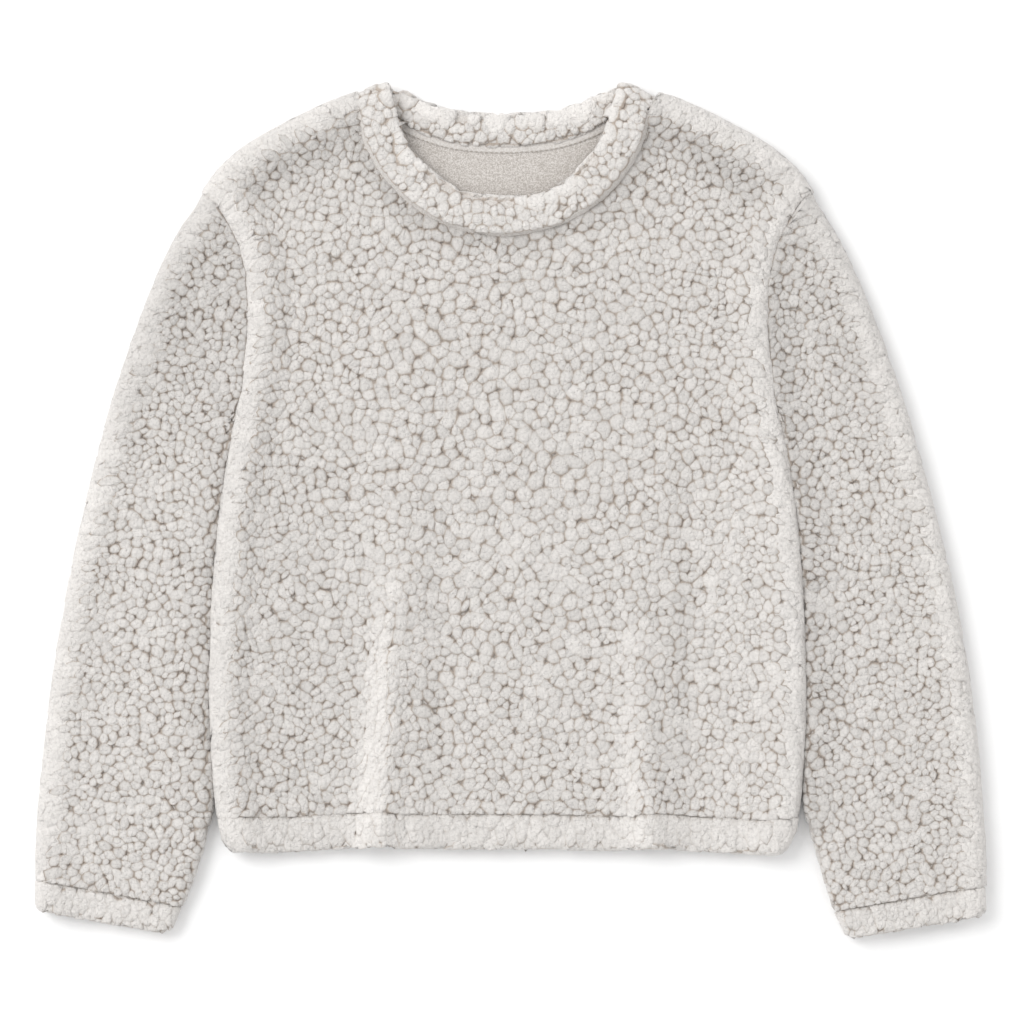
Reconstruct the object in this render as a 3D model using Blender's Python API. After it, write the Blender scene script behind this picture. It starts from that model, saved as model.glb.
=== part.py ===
# Sherpa fleece pullover, laid flat with its front up.
# Five sewn pieces: front, back, two sleeves and a neckband folded double.
# Metres, +Z up, +Y toward the neck, origin on the surface under the middle of the outline.
import math
from collections import namedtuple

import bmesh
import bpy
from mathutils import Vector, geometry

for old_object in list(bpy.data.objects):
    bpy.data.objects.remove(old_object, do_unlink=True)

MM = 0.001
OVERALL_LENGTH = 760 * MM         # top of the neckband to the lower cuff
BODY_CENTRE_X = -2.5 * MM         # the sleeves do not lie quite evenly
NECK_CENTRE_X = -6.0 * MM
SEAM_GAP = 0.3 * MM

PLY = 9.0 * MM                    # backing and pile of one layer
SEAM_HEIGHT = 14.0 * MM           # side and shoulder seams, between the two layers
SEAM_EDGE = 1.0 * MM              # blunt edge left where a panel thins to its seam
ROLL_RADIUS = 16.0 * MM           # how far the rolled side edge reaches inward
SIDE_RIM = 9.0 * MM               # extra height over the turned-in seam allowances
RIM_FADE = 26.0 * MM              # from the top of the rim down to the flat cloth
ALLOWANCE = 14.0 * MM             # depth of the seam allowance inside
SEAM_FLAT = 4.0 * MM              # level strip where the two layers meet at a seam
HEM_RADIUS = 4.5 * MM
STITCH_FROM_EDGE = 27.0 * MM
STITCH_SUNK = 2.2 * MM
STITCH_HALF_WIDTH = 5.5 * MM
BACK_HEM_SHORTER = 2.5 * MM
NECK_SUNK = 3.0 * MM
NECK_RADIUS = 7.0 * MM
NECK_GAP = 0.9 * MM

SLEEVE_SLIT = 2.5 * MM            # air between the two layers of a sleeve
SLEEVE_THICKNESS = 2 * PLY + SLEEVE_SLIT
SLEEVE_RADIUS = 12.0 * MM
SLEEVE_RIM = 4.0 * MM
SLEEVE_RIM_FADE = 30.0 * MM
SLEEVE_WALL_SIDE = 10.0 * MM      # wall at the two folded edges of a sleeve
CUFF_RADIUS = 4.0 * MM

BAND_HALF_THICKNESS = 7.4 * MM
BAND_SECTION_POINTS = 14

# Edges are tables in millimetres: half is the distance from the centre line, drop is
# the distance down from the top of the neckband.
Edge = namedtuple("Edge", "half drop")
ARMHOLE = [
    Edge(267.5, 101.2), Edge(257.8, 110.9), Edge(250.5, 121.5), Edge(241.1, 137.3),
    Edge(235.8, 150.5), Edge(230.8, 173.4), Edge(229.2, 203.3), Edge(230.1, 225.3),
    Edge(233.2, 262.2), Edge(236.3, 282.5), Edge(241.6, 308.9),
]
SIDE = [
    Edge(241.6, 308.9), Edge(247.3, 344.1), Edge(251.2, 370.5), Edge(254.3, 396.9),
    Edge(259.2, 458.5), Edge(260.5, 502.5), Edge(261.4, 546.5), Edge(259.6, 590.5),
    Edge(257.0, 625.7), Edge(253.6, 655.0), Edge(250.5, 668.0), Edge(245.0, 675.5),
]
SHOULDER = [
    Edge(136.5, 14.0), Edge(150.9, 18.5), Edge(188.3, 36.1), Edge(220.9, 53.7),
    Edge(244.6, 71.3), Edge(261.2, 88.9), Edge(267.5, 101.2),
]
# Across the front hem, left to right: across is signed, from the body's centre line.
HemPoint = namedtuple("HemPoint", "across drop")
HEM = [
    HemPoint(-245.0, 675.5), HemPoint(-202.0, 676.7), HemPoint(-159.0, 674.6),
    HemPoint(-116.0, 671.6), HemPoint(-87.0, 674.0), HemPoint(4.0, 674.1),
    HemPoint(47.0, 674.3), HemPoint(90.0, 675.6), HemPoint(133.0, 673.6),
    HemPoint(176.0, 676.5), HemPoint(228.0, 678.8), HemPoint(245.0, 675.5),
]

# Soft upright folds in the front: crest line, height and half width at each drop.
FoldPoint = namedtuple("FoldPoint", "drop across height half_width")
LEFT_FOLD = [
    FoldPoint(353.0, -95.0, 0.0, 20.0), FoldPoint(430.0, -99.0, 3.0, 22.0),
    FoldPoint(516.0, -104.0, 6.5, 23.0), FoldPoint(600.0, -108.0, 9.0, 25.0),
    FoldPoint(690.0, -118.0, 10.0, 27.0),
]
RIGHT_FOLD = [
    FoldPoint(400.0, 116.0, 0.0, 20.0), FoldPoint(470.0, 118.0, 3.0, 22.0),
    FoldPoint(540.0, 117.0, 5.5, 24.0), FoldPoint(610.0, 119.0, 7.0, 25.0),
    FoldPoint(690.0, 130.0, 7.5, 28.0),
]

# The neckband, front centre to neck point and on to back centre: its sewn edge, its
# folded free edge and the height of its middle.
Band = namedtuple("Band", "seam_half seam_drop free_half free_drop middle")
BAND_FRONT = [
    Band(0.0, 137.3, 0.0, 103.6, 17.5), Band(27.0, 134.2, 20.0, 102.1, 17.5),
    Band(53.0, 126.7, 39.3, 97.2, 17.7), Band(78.0, 112.0, 56.0, 87.0, 18.3),
    Band(97.0, 95.0, 71.0, 73.0, 19.2), Band(112.0, 75.0, 83.5, 56.5, 20.3),
    Band(122.5, 53.0, 92.0, 36.0, 21.6), Band(127.5, 28.5, 97.0, 11.5, 22.8),
]
BAND_BACK = [
    Band(127.5, 28.5, 97.0, 11.5, 7.4), Band(112.0, 27.5, 88.0, 10.0, 7.4),
    Band(94.3, 34.3, 80.0, 14.0, 7.4), Band(82.6, 42.6, 70.0, 18.5, 7.4),
    Band(60.0, 51.6, 50.0, 25.5, 7.4), Band(35.5, 57.0, 29.0, 29.2, 7.4),
    Band(0.0, 59.1, 0.0, 30.4, 7.4),
]

# A sleeve from armhole to cuff: its outer and its underarm edge at each section.
Section = namedtuple("Section", "outer_half outer_drop inner_half inner_drop")
LEFT_SLEEVE = [
    Section(295.4, 141.7, 243.5, 321.0), Section(318.5, 195.0, 246.5, 340.0),
    Section(336.0, 243.0, 249.5, 361.0), Section(351.5, 291.0, 252.5, 383.0),
    Section(364.5, 340.0, 255.0, 407.0), Section(376.0, 388.0, 257.5, 435.0),
    Section(386.9, 440.9, 259.8, 472.0), Section(396.0, 490.0, 260.8, 512.0),
    Section(403.5, 541.0, 261.8, 556.0), Section(409.5, 592.0, 260.0, 601.0),
    Section(413.8, 637.0, 259.6, 643.0), Section(416.4, 681.0, 271.0, 692.0),
]
LEFT_CUFF_STITCH = Section(417.0, 704.9, 285.5, 730.0)
LEFT_CUFF_EDGE = Section(418.2, 731.5, 296.5, 754.0)
RIGHT_SLEEVE = [
    Section(293.3, 141.7, 243.5, 321.0), Section(317.5, 195.0, 246.5, 340.0),
    Section(335.8, 243.0, 249.5, 361.0), Section(352.0, 291.0, 252.5, 383.0),
    Section(366.5, 340.0, 255.0, 407.0), Section(379.0, 388.0, 257.5, 435.0),
    Section(391.9, 440.9, 259.8, 472.0), Section(401.5, 490.0, 260.8, 512.0),
    Section(409.5, 541.0, 261.8, 556.0), Section(415.5, 592.0, 260.0, 601.0),
    Section(419.2, 637.0, 261.5, 643.0), Section(422.3, 684.0, 274.5, 694.0),
]
RIGHT_CUFF_STITCH = Section(422.9, 708.0, 286.5, 733.0)
RIGHT_CUFF_EDGE = Section(423.4, 736.5, 297.5, 758.0)

PANEL_STEP = 28 * MM
CURVED_STEP = 14 * MM
FIELD_STEP = 32 * MM
FOLD_CLEAR = 9 * MM
FLEECE_COLOUR = (0.650, 0.612, 0.584, 1.0)
INSIDE_COLOUR = (0.604, 0.564, 0.533, 1.0)


def across_drop(centre_x, across_mm, drop_mm):
    return Vector((centre_x + across_mm * MM, OVERALL_LENGTH / 2 - drop_mm * MM))


def smooth_path(points, step):
    # Catmull-Rom curve through the points, read again at equal steps.
    dense = [points[0]]
    for i in range(len(points) - 1):
        before = points[max(i - 1, 0)]
        start = points[i]
        end = points[i + 1]
        after = points[min(i + 2, len(points) - 1)]
        for k in range(1, 13):
            t = k / 12
            dense.append(0.5 * (2 * start + (end - before) * t
                                + (2 * before - 5 * start + 4 * end - after) * t ** 2
                                + (3 * start - before - 3 * end + after) * t ** 3))
    return even_path(dense, step)


def even_path(points, step):
    reach = [0.0]
    for a, b in zip(points, points[1:]):
        reach.append(reach[-1] + (b - a).length)
    count = max(1, round(reach[-1] / step))
    return [at_reach(points, reach, reach[-1] * k / count) for k in range(count + 1)]


def at_reach(points, reach, target):
    for i in range(len(points) - 1):
        if target <= reach[i + 1]:
            span = max(reach[i + 1] - reach[i], 1e-9)
            return points[i].lerp(points[i + 1], (target - reach[i]) / span)
    return points[-1].copy()


def mirror_path(points, centre_x):
    return [Vector((2 * centre_x - p.x, p.y)) for p in points]


def smooth_fade(value):
    value = min(max(value, 0.0), 1.0)
    return value * value * (3 - 2 * value)


def quarter_round(distance, radius):
    # 0 at the edge, 1 from one radius inward.
    if distance >= radius:
        return 1.0
    return math.sqrt(max(0.0, 1 - (1 - max(distance, 0.0) / radius) ** 2))


def distance_to_path(point, path):
    best = 1e9
    for a, b in zip(path, path[1:]):
        span = b - a
        t = min(max((point - a).dot(span) / span.length_squared, 0.0), 1.0)
        best = min(best, (point - a - span * t).length)
    return best


def table_at(rows, drop_mm):
    # A fold's values at one drop, straight between rows.
    for low, high in zip(rows, rows[1:]):
        if low.drop <= drop_mm <= high.drop:
            t = (drop_mm - low.drop) / (high.drop - low.drop)
            return [a + (b - a) * t for a, b in zip(low, high)]
    return None


class Outline:
    # One body panel's outline, kept as named edges that run anticlockwise.
    def __init__(self, neck_edge, hem_lift):
        right_side = [across_drop(BODY_CENTRE_X, p.half, p.drop) for p in reversed(SIDE)]
        right_side[0].y += hem_lift
        armhole = [across_drop(BODY_CENTRE_X, p.half, p.drop) for p in reversed(ARMHOLE)]
        shoulder = [across_drop(BODY_CENTRE_X, p.half, p.drop) for p in reversed(SHOULDER)]
        neck_point = neck_edge[0]
        shoulder[-1] = neck_point.copy()
        hem = [across_drop(BODY_CENTRE_X, p.across, p.drop) for p in HEM]
        for p in hem:
            p.y += hem_lift
        self.hem = smooth_path(hem, CURVED_STEP)
        self.right_side = smooth_path(right_side, PANEL_STEP)
        self.right_armhole = smooth_path(armhole, CURVED_STEP)
        self.right_shoulder = smooth_path(shoulder, PANEL_STEP)
        self.neck = neck_edge
        self.left_armhole = mirror_path(self.right_armhole, BODY_CENTRE_X)[::-1]
        left_side = mirror_path(self.right_side, BODY_CENTRE_X)[::-1]
        left_shoulder = mirror_path(shoulder, BODY_CENTRE_X)
        left_shoulder[-1] = neck_edge[-1].copy()
        self.left_side = left_side
        self.left_shoulder = smooth_path(left_shoulder, PANEL_STEP)[::-1]

    def loop(self):
        points = []
        for edge in (self.hem, self.right_side, self.right_armhole, self.right_shoulder,
                     self.neck, self.left_shoulder, self.left_armhole, self.left_side):
            points.extend(edge[:-1])
        return points

    def sewn_distance(self, point):
        sides = (self.right_side, self.right_armhole, self.right_shoulder,
                 self.left_side, self.left_armhole, self.left_shoulder)
        return min(distance_to_path(point, side) for side in sides)

    def hem_distance(self, point):
        return distance_to_path(point, self.hem)

    def neck_distance(self, point):
        return distance_to_path(point, self.neck)


def neck_edge(rows):
    # The panel's edge that meets the neckband's sewn edge, right neck point to left.
    seam = [across_drop(0.0, row.seam_half, row.seam_drop) for row in rows]
    neck_point = across_drop(0.0, SHOULDER[0].half - 3.0, SHOULDER[0].drop)
    right = [neck_point] + smooth_path(seam, CURVED_STEP)[::-1]
    both = right + mirror_path(right, 0.0)[::-1][1:]
    moved = []
    for i, point in enumerate(both):
        ahead = both[min(i + 1, len(both) - 1)]
        behind = both[max(i - 1, 0)]
        along = (ahead - behind).normalized()
        outward = Vector((-along.y, along.x))
        moved.append(point + outward * NECK_GAP + Vector((NECK_CENTRE_X, 0.0)))
    return moved


def inward_normals(loop):
    normals = []
    for i, point in enumerate(loop):
        along = (loop[(i + 1) % len(loop)] - loop[i - 1]).normalized()
        normals.append(Vector((-along.y, along.x)))
    return normals


def panel_points(outline, ring_depths, hem_depths, fold_points):
    # The outline, rings of points inside it and an even field between.
    loop = outline.loop()
    points = list(loop)
    normals = inward_normals(loop)
    closed = loop + loop[:1]
    deepest = max(ring_depths)
    for depth in ring_depths + hem_depths:
        for point, normal in zip(loop, normals):
            moved = point + normal * depth
            at_hem = outline.hem_distance(point) < 1 * MM
            if at_hem != (depth in hem_depths):
                continue
            if distance_to_path(moved, closed) > depth - 0.4 * MM:
                points.append(moved)
    for point in fold_points:
        if inside_loop(point, loop) and distance_to_path(point, closed) > deepest + FOLD_CLEAR:
            points.append(point)
    row_step = FIELD_STEP * math.sqrt(3) / 2
    rows = int(OVERALL_LENGTH / row_step)
    columns = int(OVERALL_LENGTH / FIELD_STEP)
    for row in range(rows):
        for column in range(-columns // 2, columns // 2 + 1):
            shift = 0.5 * (row % 2)
            point = Vector(((column + shift) * FIELD_STEP + BODY_CENTRE_X,
                            OVERALL_LENGTH / 2 - row * row_step))
            if not inside_loop(point, loop):
                continue
            if any((point - other).length < 0.6 * FIELD_STEP for other in fold_points):
                continue
            if distance_to_path(point, closed) > deepest + 0.55 * FIELD_STEP:
                points.append(point)
    return loop, points


def points_along_folds():
    # Five points across each fold, from its start to the hem.
    points = []
    for rows in (LEFT_FOLD, RIGHT_FOLD):
        count = int((rows[-1].drop - rows[0].drop) * MM / PANEL_STEP)
        for k in range(count + 1):
            drop_mm = rows[0].drop + k * PANEL_STEP / MM
            _, across, _, half_width = table_at(rows, drop_mm)
            for share in (-1.0, -0.5, 0.0, 0.5, 1.0):
                points.append(across_drop(BODY_CENTRE_X, across + share * half_width, drop_mm))
    return points


def inside_loop(point, loop):
    inside = False
    for i, a in enumerate(loop):
        b = loop[i - 1]
        if (a.y > point.y) != (b.y > point.y):
            if point.x < (b.x - a.x) * (point.y - a.y) / (b.y - a.y) + a.x:
                inside = not inside
    return inside


def panel_object(name, outline, rings, upper, lower, colour):
    # A closed solid: one triangulated outline, raised to its upper and lower faces.
    loop, points = panel_points(outline, *rings)
    edges = [(i, (i + 1) % len(loop)) for i in range(len(loop))]
    flat = geometry.delaunay_2d_cdt(points, edges, [], 1, 1e-7)
    flat_points = flat[0]
    triangles = flat[2]
    bm = bmesh.new()
    top = []
    bottom = []
    for point in flat_points:
        low = lower(point)
        high = max(upper(point), low + SEAM_EDGE)
        top.append(bm.verts.new((point.x, point.y, high)))
        bottom.append(bm.verts.new((point.x, point.y, low)))
    used = {}
    for triangle in triangles:
        bm.faces.new([top[i] for i in triangle])
        bm.faces.new([bottom[i] for i in reversed(triangle)])
        for k in range(3):
            used[(triangle[k], triangle[(k + 1) % 3])] = True
    for a, b in used:
        if (b, a) not in used:
            bm.faces.new((top[b], top[a], bottom[a], bottom[b]))
    return finish_object(name, bm, colour)


def finish_object(name, bm, colour):
    bmesh.ops.delete(bm, geom=[v for v in bm.verts if not v.link_faces], context="VERTS")
    bmesh.ops.triangulate(bm, faces=bm.faces)
    bmesh.ops.recalc_face_normals(bm, faces=bm.faces)
    mesh = bpy.data.meshes.new(name)
    bm.to_mesh(mesh)
    bm.free()
    mesh.shade_smooth()
    material = bpy.data.materials.new(name + "_cloth")
    material.use_nodes = True
    surface = material.node_tree.nodes["Principled BSDF"]
    surface.inputs["Base Color"].default_value = colour
    surface.inputs["Roughness"].default_value = 0.95
    surface.inputs["Metallic"].default_value = 0.0
    mesh.materials.append(material)
    piece = bpy.data.objects.new(name, mesh)
    bpy.context.collection.objects.link(piece)
    return piece


def fold_height(point):
    # Height of the upright folds over the flat cloth.
    drop_mm = (OVERALL_LENGTH / 2 - point.y) / MM
    across_mm = (point.x - BODY_CENTRE_X) / MM
    height = 0.0
    for rows in (LEFT_FOLD, RIGHT_FOLD):
        values = table_at(rows, drop_mm)
        if values is None:
            continue
        _, across, crest, half_width = values
        away = abs(across_mm - across) / half_width
        if away < 1:
            height += crest * MM * math.cos(away * math.pi / 2) ** 2
    return height


def stitch_groove(distance):
    away = abs(distance - STITCH_FROM_EDGE) / STITCH_HALF_WIDTH
    return STITCH_SUNK * (1 - smooth_fade(away))


def neck_fade(outline, point):
    # The seam sinks to the flat layers where the shoulder meets the neckband.
    return smooth_fade((outline.neck_distance(point) - 8 * MM) / (30 * MM))


def back_seam(outline, point):
    return PLY + (SEAM_HEIGHT - PLY - SEAM_GAP) * neck_fade(outline, point)


def front_upper(outline):
    def height(point):
        sewn = outline.sewn_distance(point)
        hem = outline.hem_distance(point)
        neck = outline.neck_distance(point)
        level = 2 * PLY + SEAM_GAP + fold_height(point)
        level += SIDE_RIM * (1 - smooth_fade((sewn - ROLL_RADIUS) / RIM_FADE))
        level -= stitch_groove(hem)
        level -= NECK_SUNK * (1 - quarter_round(neck, NECK_RADIUS))
        seam_top = SEAM_HEIGHT + SEAM_GAP / 2 + SEAM_EDGE
        rolled = seam_top + (level - seam_top) * quarter_round(sewn, ROLL_RADIUS)
        middle = PLY * 1.5 + SEAM_GAP + fold_height(point) + SEAM_EDGE / 2
        turned = middle + (level - middle) * quarter_round(hem, HEM_RADIUS)
        return min(rolled, turned)
    return height


def front_lower(outline):
    def height(point):
        sewn = outline.sewn_distance(point)
        hem = outline.hem_distance(point)
        level = PLY + SEAM_GAP
        seam = level + (SEAM_HEIGHT - PLY) * neck_fade(outline, point)
        level += (seam - level) * smooth_fade((ALLOWANCE - sewn) / (ALLOWANCE - SEAM_FLAT))
        level += fold_height(point) * smooth_fade(sewn / ALLOWANCE)
        middle = max(level, PLY * 1.5 + SEAM_GAP + fold_height(point) - SEAM_EDGE / 2)
        return middle + (level - middle) * quarter_round(hem, HEM_RADIUS)
    return height


def back_upper(outline):
    def height(point):
        sewn = outline.sewn_distance(point)
        hem = outline.hem_distance(point)
        seam = back_seam(outline, point)
        inset = ALLOWANCE - 3 * MM
        level = PLY + (seam - PLY) * smooth_fade((inset - sewn) / (inset - SEAM_FLAT))
        middle = PLY / 2 + SEAM_EDGE / 2 + (level - PLY)
        return middle + (level - middle) * quarter_round(hem, HEM_RADIUS)
    return height


def back_lower(outline):
    def height(point):
        sewn = outline.sewn_distance(point)
        hem = outline.hem_distance(point)
        seam = back_seam(outline, point) - SEAM_EDGE
        rolled = seam * (1 - quarter_round(sewn, ROLL_RADIUS))
        turned = (PLY / 2 - SEAM_EDGE / 2) * (1 - quarter_round(hem, HEM_RADIUS))
        return max(rolled, turned)
    return height


def ring_round(radius):
    # Depths at which rings follow a quarter round.
    return [radius * (1 - math.cos(math.radians(angle))) for angle in (22.5, 45.0, 67.5, 90.0)]


class SleeveShape:
    # Rows of points from the armhole to the cuff, side is -1 for left and 1 for right.
    def __init__(self, side, armhole, rows, stitch, edge):
        self.side = side
        top_down = sorted(armhole, key=lambda p: -p.y)
        normals = []
        for i, point in enumerate(top_down):
            ahead = top_down[min(i + 1, len(top_down) - 1)]
            behind = top_down[max(i - 1, 0)]
            along = (ahead - behind).normalized()
            away = Vector((along.y, -along.x))
            if away.x * side < 0:
                away = -away
            normals.append(away)
        self.armhole = [p + n * SEAM_GAP for p, n in zip(top_down, normals)]
        sections = [self.ends(row) for row in rows]
        cuff_stitch = self.ends(stitch)
        cuff_edge = self.ends(edge)
        sections = self.smoothed([(self.armhole[0], self.armhole[-1])] + sections)
        for share in (-0.2, 0.0, 0.2, 0.6):
            sections.append(tuple(a.lerp(b, share) for a, b in zip(cuff_stitch, cuff_edge)))
        length = (cuff_edge[0] - cuff_stitch[0]).length
        for angle in (90.0, 60.0, 30.0, 0.0):
            back = CUFF_RADIUS * (1 - math.cos(math.radians(angle))) / length
            sections.append(tuple(a.lerp(b, 1 - back) for a, b in zip(cuff_stitch, cuff_edge)))
        self.sections = sections
        self.stitch = cuff_stitch
        self.edge = cuff_edge

    def ends(self, row):
        outer = across_drop(BODY_CENTRE_X, self.side * row.outer_half, row.outer_drop)
        inner = across_drop(BODY_CENTRE_X, self.side * row.inner_half, row.inner_drop)
        return outer, self.clear_of_body(inner)

    def clear_of_body(self, point):
        # The underarm edge lies against the body's side seam and never under it.
        side = smooth_path([across_drop(0.0, p.half, p.drop) for p in SIDE], 5 * MM)
        for low, high in zip(side[1:], side):
            if low.y <= point.y <= high.y:
                t = (point.y - low.y) / (high.y - low.y)
                half = low.x + (high.x - low.x) * t + 2 * SEAM_GAP
                if abs(point.x - BODY_CENTRE_X) < half:
                    return Vector((BODY_CENTRE_X + self.side * half, point.y))
        return point

    def smoothed(self, sections):
        # One more row between the first rows, where the sleeve turns away from the body.
        rows = []
        for i, (outer, inner) in enumerate(sections):
            rows.append((outer, inner))
            if i == 0:
                ahead = sections[1]
                rows.append((outer.lerp(ahead[0], 0.4), inner.lerp(ahead[1], 0.4)))
        return rows

    def row_points(self, index):
        # Points from the outer to the underarm edge, each with its distance to an edge.
        outer, inner = self.sections[index]
        reach = [0.0]
        for a, b in zip(self.armhole, self.armhole[1:]):
            reach.append(reach[-1] + (b - a).length)
        chord = self.armhole[-1] - self.armhole[0]
        length = (inner - outer).length
        rim = [0.0] + ring_round(SLEEVE_RADIUS)
        inner_shares = []
        for k in range(2, len(self.armhole) - 2):
            inner_shares.append(reach[k] / reach[-1])
        distances = [d for d in rim]
        distances += [share * length for share in inner_shares[1:-1]]
        distances += [length - d for d in reversed(rim)]
        away_from_armhole = (outer - self.armhole[0]).length
        bend = 1 - smooth_fade(away_from_armhole / (170 * MM))
        points = []
        for d in distances:
            share = d / length
            straight = outer.lerp(inner, share)
            on_armhole = at_reach(self.armhole, reach, share * reach[-1])
            offset = on_armhole - (self.armhole[0] + chord * share)
            points.append((straight + offset * bend, min(d, length - d), d))
        return points

    def cuff_distance(self, point):
        start, end = self.edge
        span = end - start
        return abs((point - start).cross(span)) / span.length


def sleeve_object(name, shape):
    bm = bmesh.new()
    rings = []
    for index in range(len(shape.sections)):
        points = shape.row_points(index)
        middle = SLEEVE_THICKNESS / 2
        outer_top = []
        outer_low = []
        inner_top = []
        inner_low = []
        for point, edge_distance, from_outer in points:
            cuff = shape.cuff_distance(point)
            round_edge = quarter_round(edge_distance, SLEEVE_RADIUS)
            level = SLEEVE_THICKNESS
            level += SLEEVE_RIM * (1 - smooth_fade((from_outer - SLEEVE_RADIUS) / SLEEVE_RIM_FADE))
            level -= stitch_groove(cuff)
            high = middle + (level - middle) * round_edge
            low = middle - middle * round_edge
            slit = (SLEEVE_SLIT / 2) * quarter_round(edge_distance - SLEEVE_WALL_SIDE, 6 * MM)
            slit = max(slit, 0.3 * MM)
            turn = 1 - quarter_round(cuff, CUFF_RADIUS)
            wall_high = high - (middle + slit)
            wall_low = middle - slit - low
            outer_top.append((point, high - turn * wall_high * 0.42))
            outer_low.append((point, low + turn * wall_low * 0.42))
            inner_top.append((point, middle + slit + turn * wall_high * 0.42))
            inner_low.append((point, middle - slit - turn * wall_low * 0.42))
        outer = outer_top + outer_low[-2:0:-1]
        walled = [i for i, p in enumerate(points) if p[1] >= SLEEVE_WALL_SIDE]
        inner = [inner_top[i] for i in walled] + [inner_low[i] for i in reversed(walled)]
        rings.append((new_ring(bm, outer), new_ring(bm, inner)))
    for (outer_a, inner_a), (outer_b, inner_b) in zip(rings, rings[1:]):
        join_rings(bm, outer_a, outer_b)
        join_rings(bm, inner_b, inner_a)
    for end in (0, -1):
        outer, inner = rings[end]
        edges = ring_edges(bm, outer) + ring_edges(bm, inner)
        bmesh.ops.bridge_loops(bm, edges=edges)
    return finish_object(name, bm, FLEECE_COLOUR)


def new_ring(bm, points):
    return [bm.verts.new((p.x, p.y, z)) for p, z in points]


def join_rings(bm, first, second):
    for i in range(len(first)):
        bm.faces.new((first[i - 1], first[i], second[i], second[i - 1]))


def ring_edges(bm, ring):
    return [bm.edges.get((ring[i - 1], ring[i])) for i in range(len(ring))]


def band_rows():
    # Right half of the neckband: seam point, free point, middle height and tilt.
    rows = []
    front = smooth_rows(BAND_FRONT, 14)
    back = smooth_rows(BAND_BACK, 11)
    for row in front[:-1]:
        rows.append((row, 90.0))
    last = front[-1]
    fold_radius = (BAND_FRONT[-1].middle - BAND_BACK[0].middle) / 2
    along = Vector((last[0] - last[2], last[1] - last[3])).normalized()
    outward = Vector((along.y, -along.x))
    for angle in (90.0, 60.0, 30.0, 0.0, -30.0, -60.0, -90.0):
        lean = math.radians(angle)
        shift = outward * fold_radius * math.cos(lean)
        middle = BAND_BACK[0].middle + fold_radius * (1 + math.sin(lean))
        moved = [last[0] + shift.x, last[1] + shift.y, last[2] + shift.x, last[3] + shift.y]
        rows.append((moved + [middle], angle))
    for row in back[1:]:
        rows.append((row, -90.0))
    return rows, outward


def smooth_rows(rows, count):
    # Each column read through a Catmull-Rom curve at even steps of the row number.
    result = []
    for k in range(count):
        place = k / (count - 1) * (len(rows) - 1)
        i = min(int(place), len(rows) - 2)
        t = place - i
        values = []
        for column in range(len(rows[0])):
            before = rows[max(i - 1, 0)][column]
            start = rows[i][column]
            end = rows[i + 1][column]
            after = rows[min(i + 2, len(rows) - 1)][column]
            values.append(0.5 * (2 * start + (end - before) * t
                                 + (2 * before - 5 * start + 4 * end - after) * t ** 2
                                 + (3 * start - before - 3 * end + after) * t ** 3))
        result.append(values)
    return result


def band_ring(bm, row, angle, outward, side):
    seam_half, seam_drop, free_half, free_drop, middle = row
    lean = math.radians(angle)
    ring = []
    for k in range(BAND_SECTION_POINTS):
        turn = 2 * math.pi * (k + 0.5) / BAND_SECTION_POINTS
        share = 0.5 + 0.5 * math.cos(turn)
        rise = math.copysign(abs(math.sin(turn)) ** 0.7, math.sin(turn))
        thick = BAND_HALF_THICKNESS * rise / MM
        half = seam_half + (free_half - seam_half) * share
        drop = seam_drop + (free_drop - seam_drop) * share
        half += outward.x * math.cos(lean) * thick
        drop += outward.y * math.cos(lean) * thick
        height = max(middle + math.sin(lean) * thick, 0.0) * MM
        place = across_drop(NECK_CENTRE_X, side * half, drop)
        ring.append(bm.verts.new((place.x, place.y, height)))
    return ring


def neckband_object():
    bm = bmesh.new()
    rows, outward = band_rows()
    rings = [band_ring(bm, row, angle, outward, 1) for row, angle in rows]
    middle_rows = rows[1:-1]
    rings += [band_ring(bm, row, angle, outward, -1) for row, angle in reversed(middle_rows)]
    for i in range(len(rings)):
        join_rings(bm, rings[i - 1], rings[i])
    return finish_object("neckband", bm, FLEECE_COLOUR)


SIDE_RINGS = ring_round(ROLL_RADIUS)
RIM_RINGS = [ROLL_RADIUS + RIM_FADE * share for share in (0.5, 1.0)]
HEM_RINGS = ring_round(HEM_RADIUS)
STITCH_RINGS = [STITCH_FROM_EDGE + STITCH_HALF_WIDTH * k for k in (-1, 0, 1)]

front_outline = Outline(neck_edge(BAND_FRONT), 0.0)
back_outline = Outline(neck_edge(BAND_BACK[::-1]), BACK_HEM_SHORTER)

front_rings = (SIDE_RINGS + RIM_RINGS, HEM_RINGS + STITCH_RINGS, points_along_folds())
back_rings = (SIDE_RINGS, HEM_RINGS, [])
panel_object("front", front_outline, front_rings,
             front_upper(front_outline), front_lower(front_outline), FLEECE_COLOUR)
panel_object("back", back_outline, back_rings,
             back_upper(back_outline), back_lower(back_outline), INSIDE_COLOUR)
left_shape = SleeveShape(-1, front_outline.left_armhole, LEFT_SLEEVE, LEFT_CUFF_STITCH,
                         LEFT_CUFF_EDGE)
right_shape = SleeveShape(1, front_outline.right_armhole, RIGHT_SLEEVE, RIGHT_CUFF_STITCH,
                          RIGHT_CUFF_EDGE)
sleeve_object("sleeve_left", left_shape)
sleeve_object("sleeve_right", right_shape)
neckband_object()
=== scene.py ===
import math
from itertools import product

import bmesh
import bpy
import numpy as np
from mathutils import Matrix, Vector
from mathutils.bvhtree import BVHTree
from mathutils.kdtree import KDTree


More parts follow.
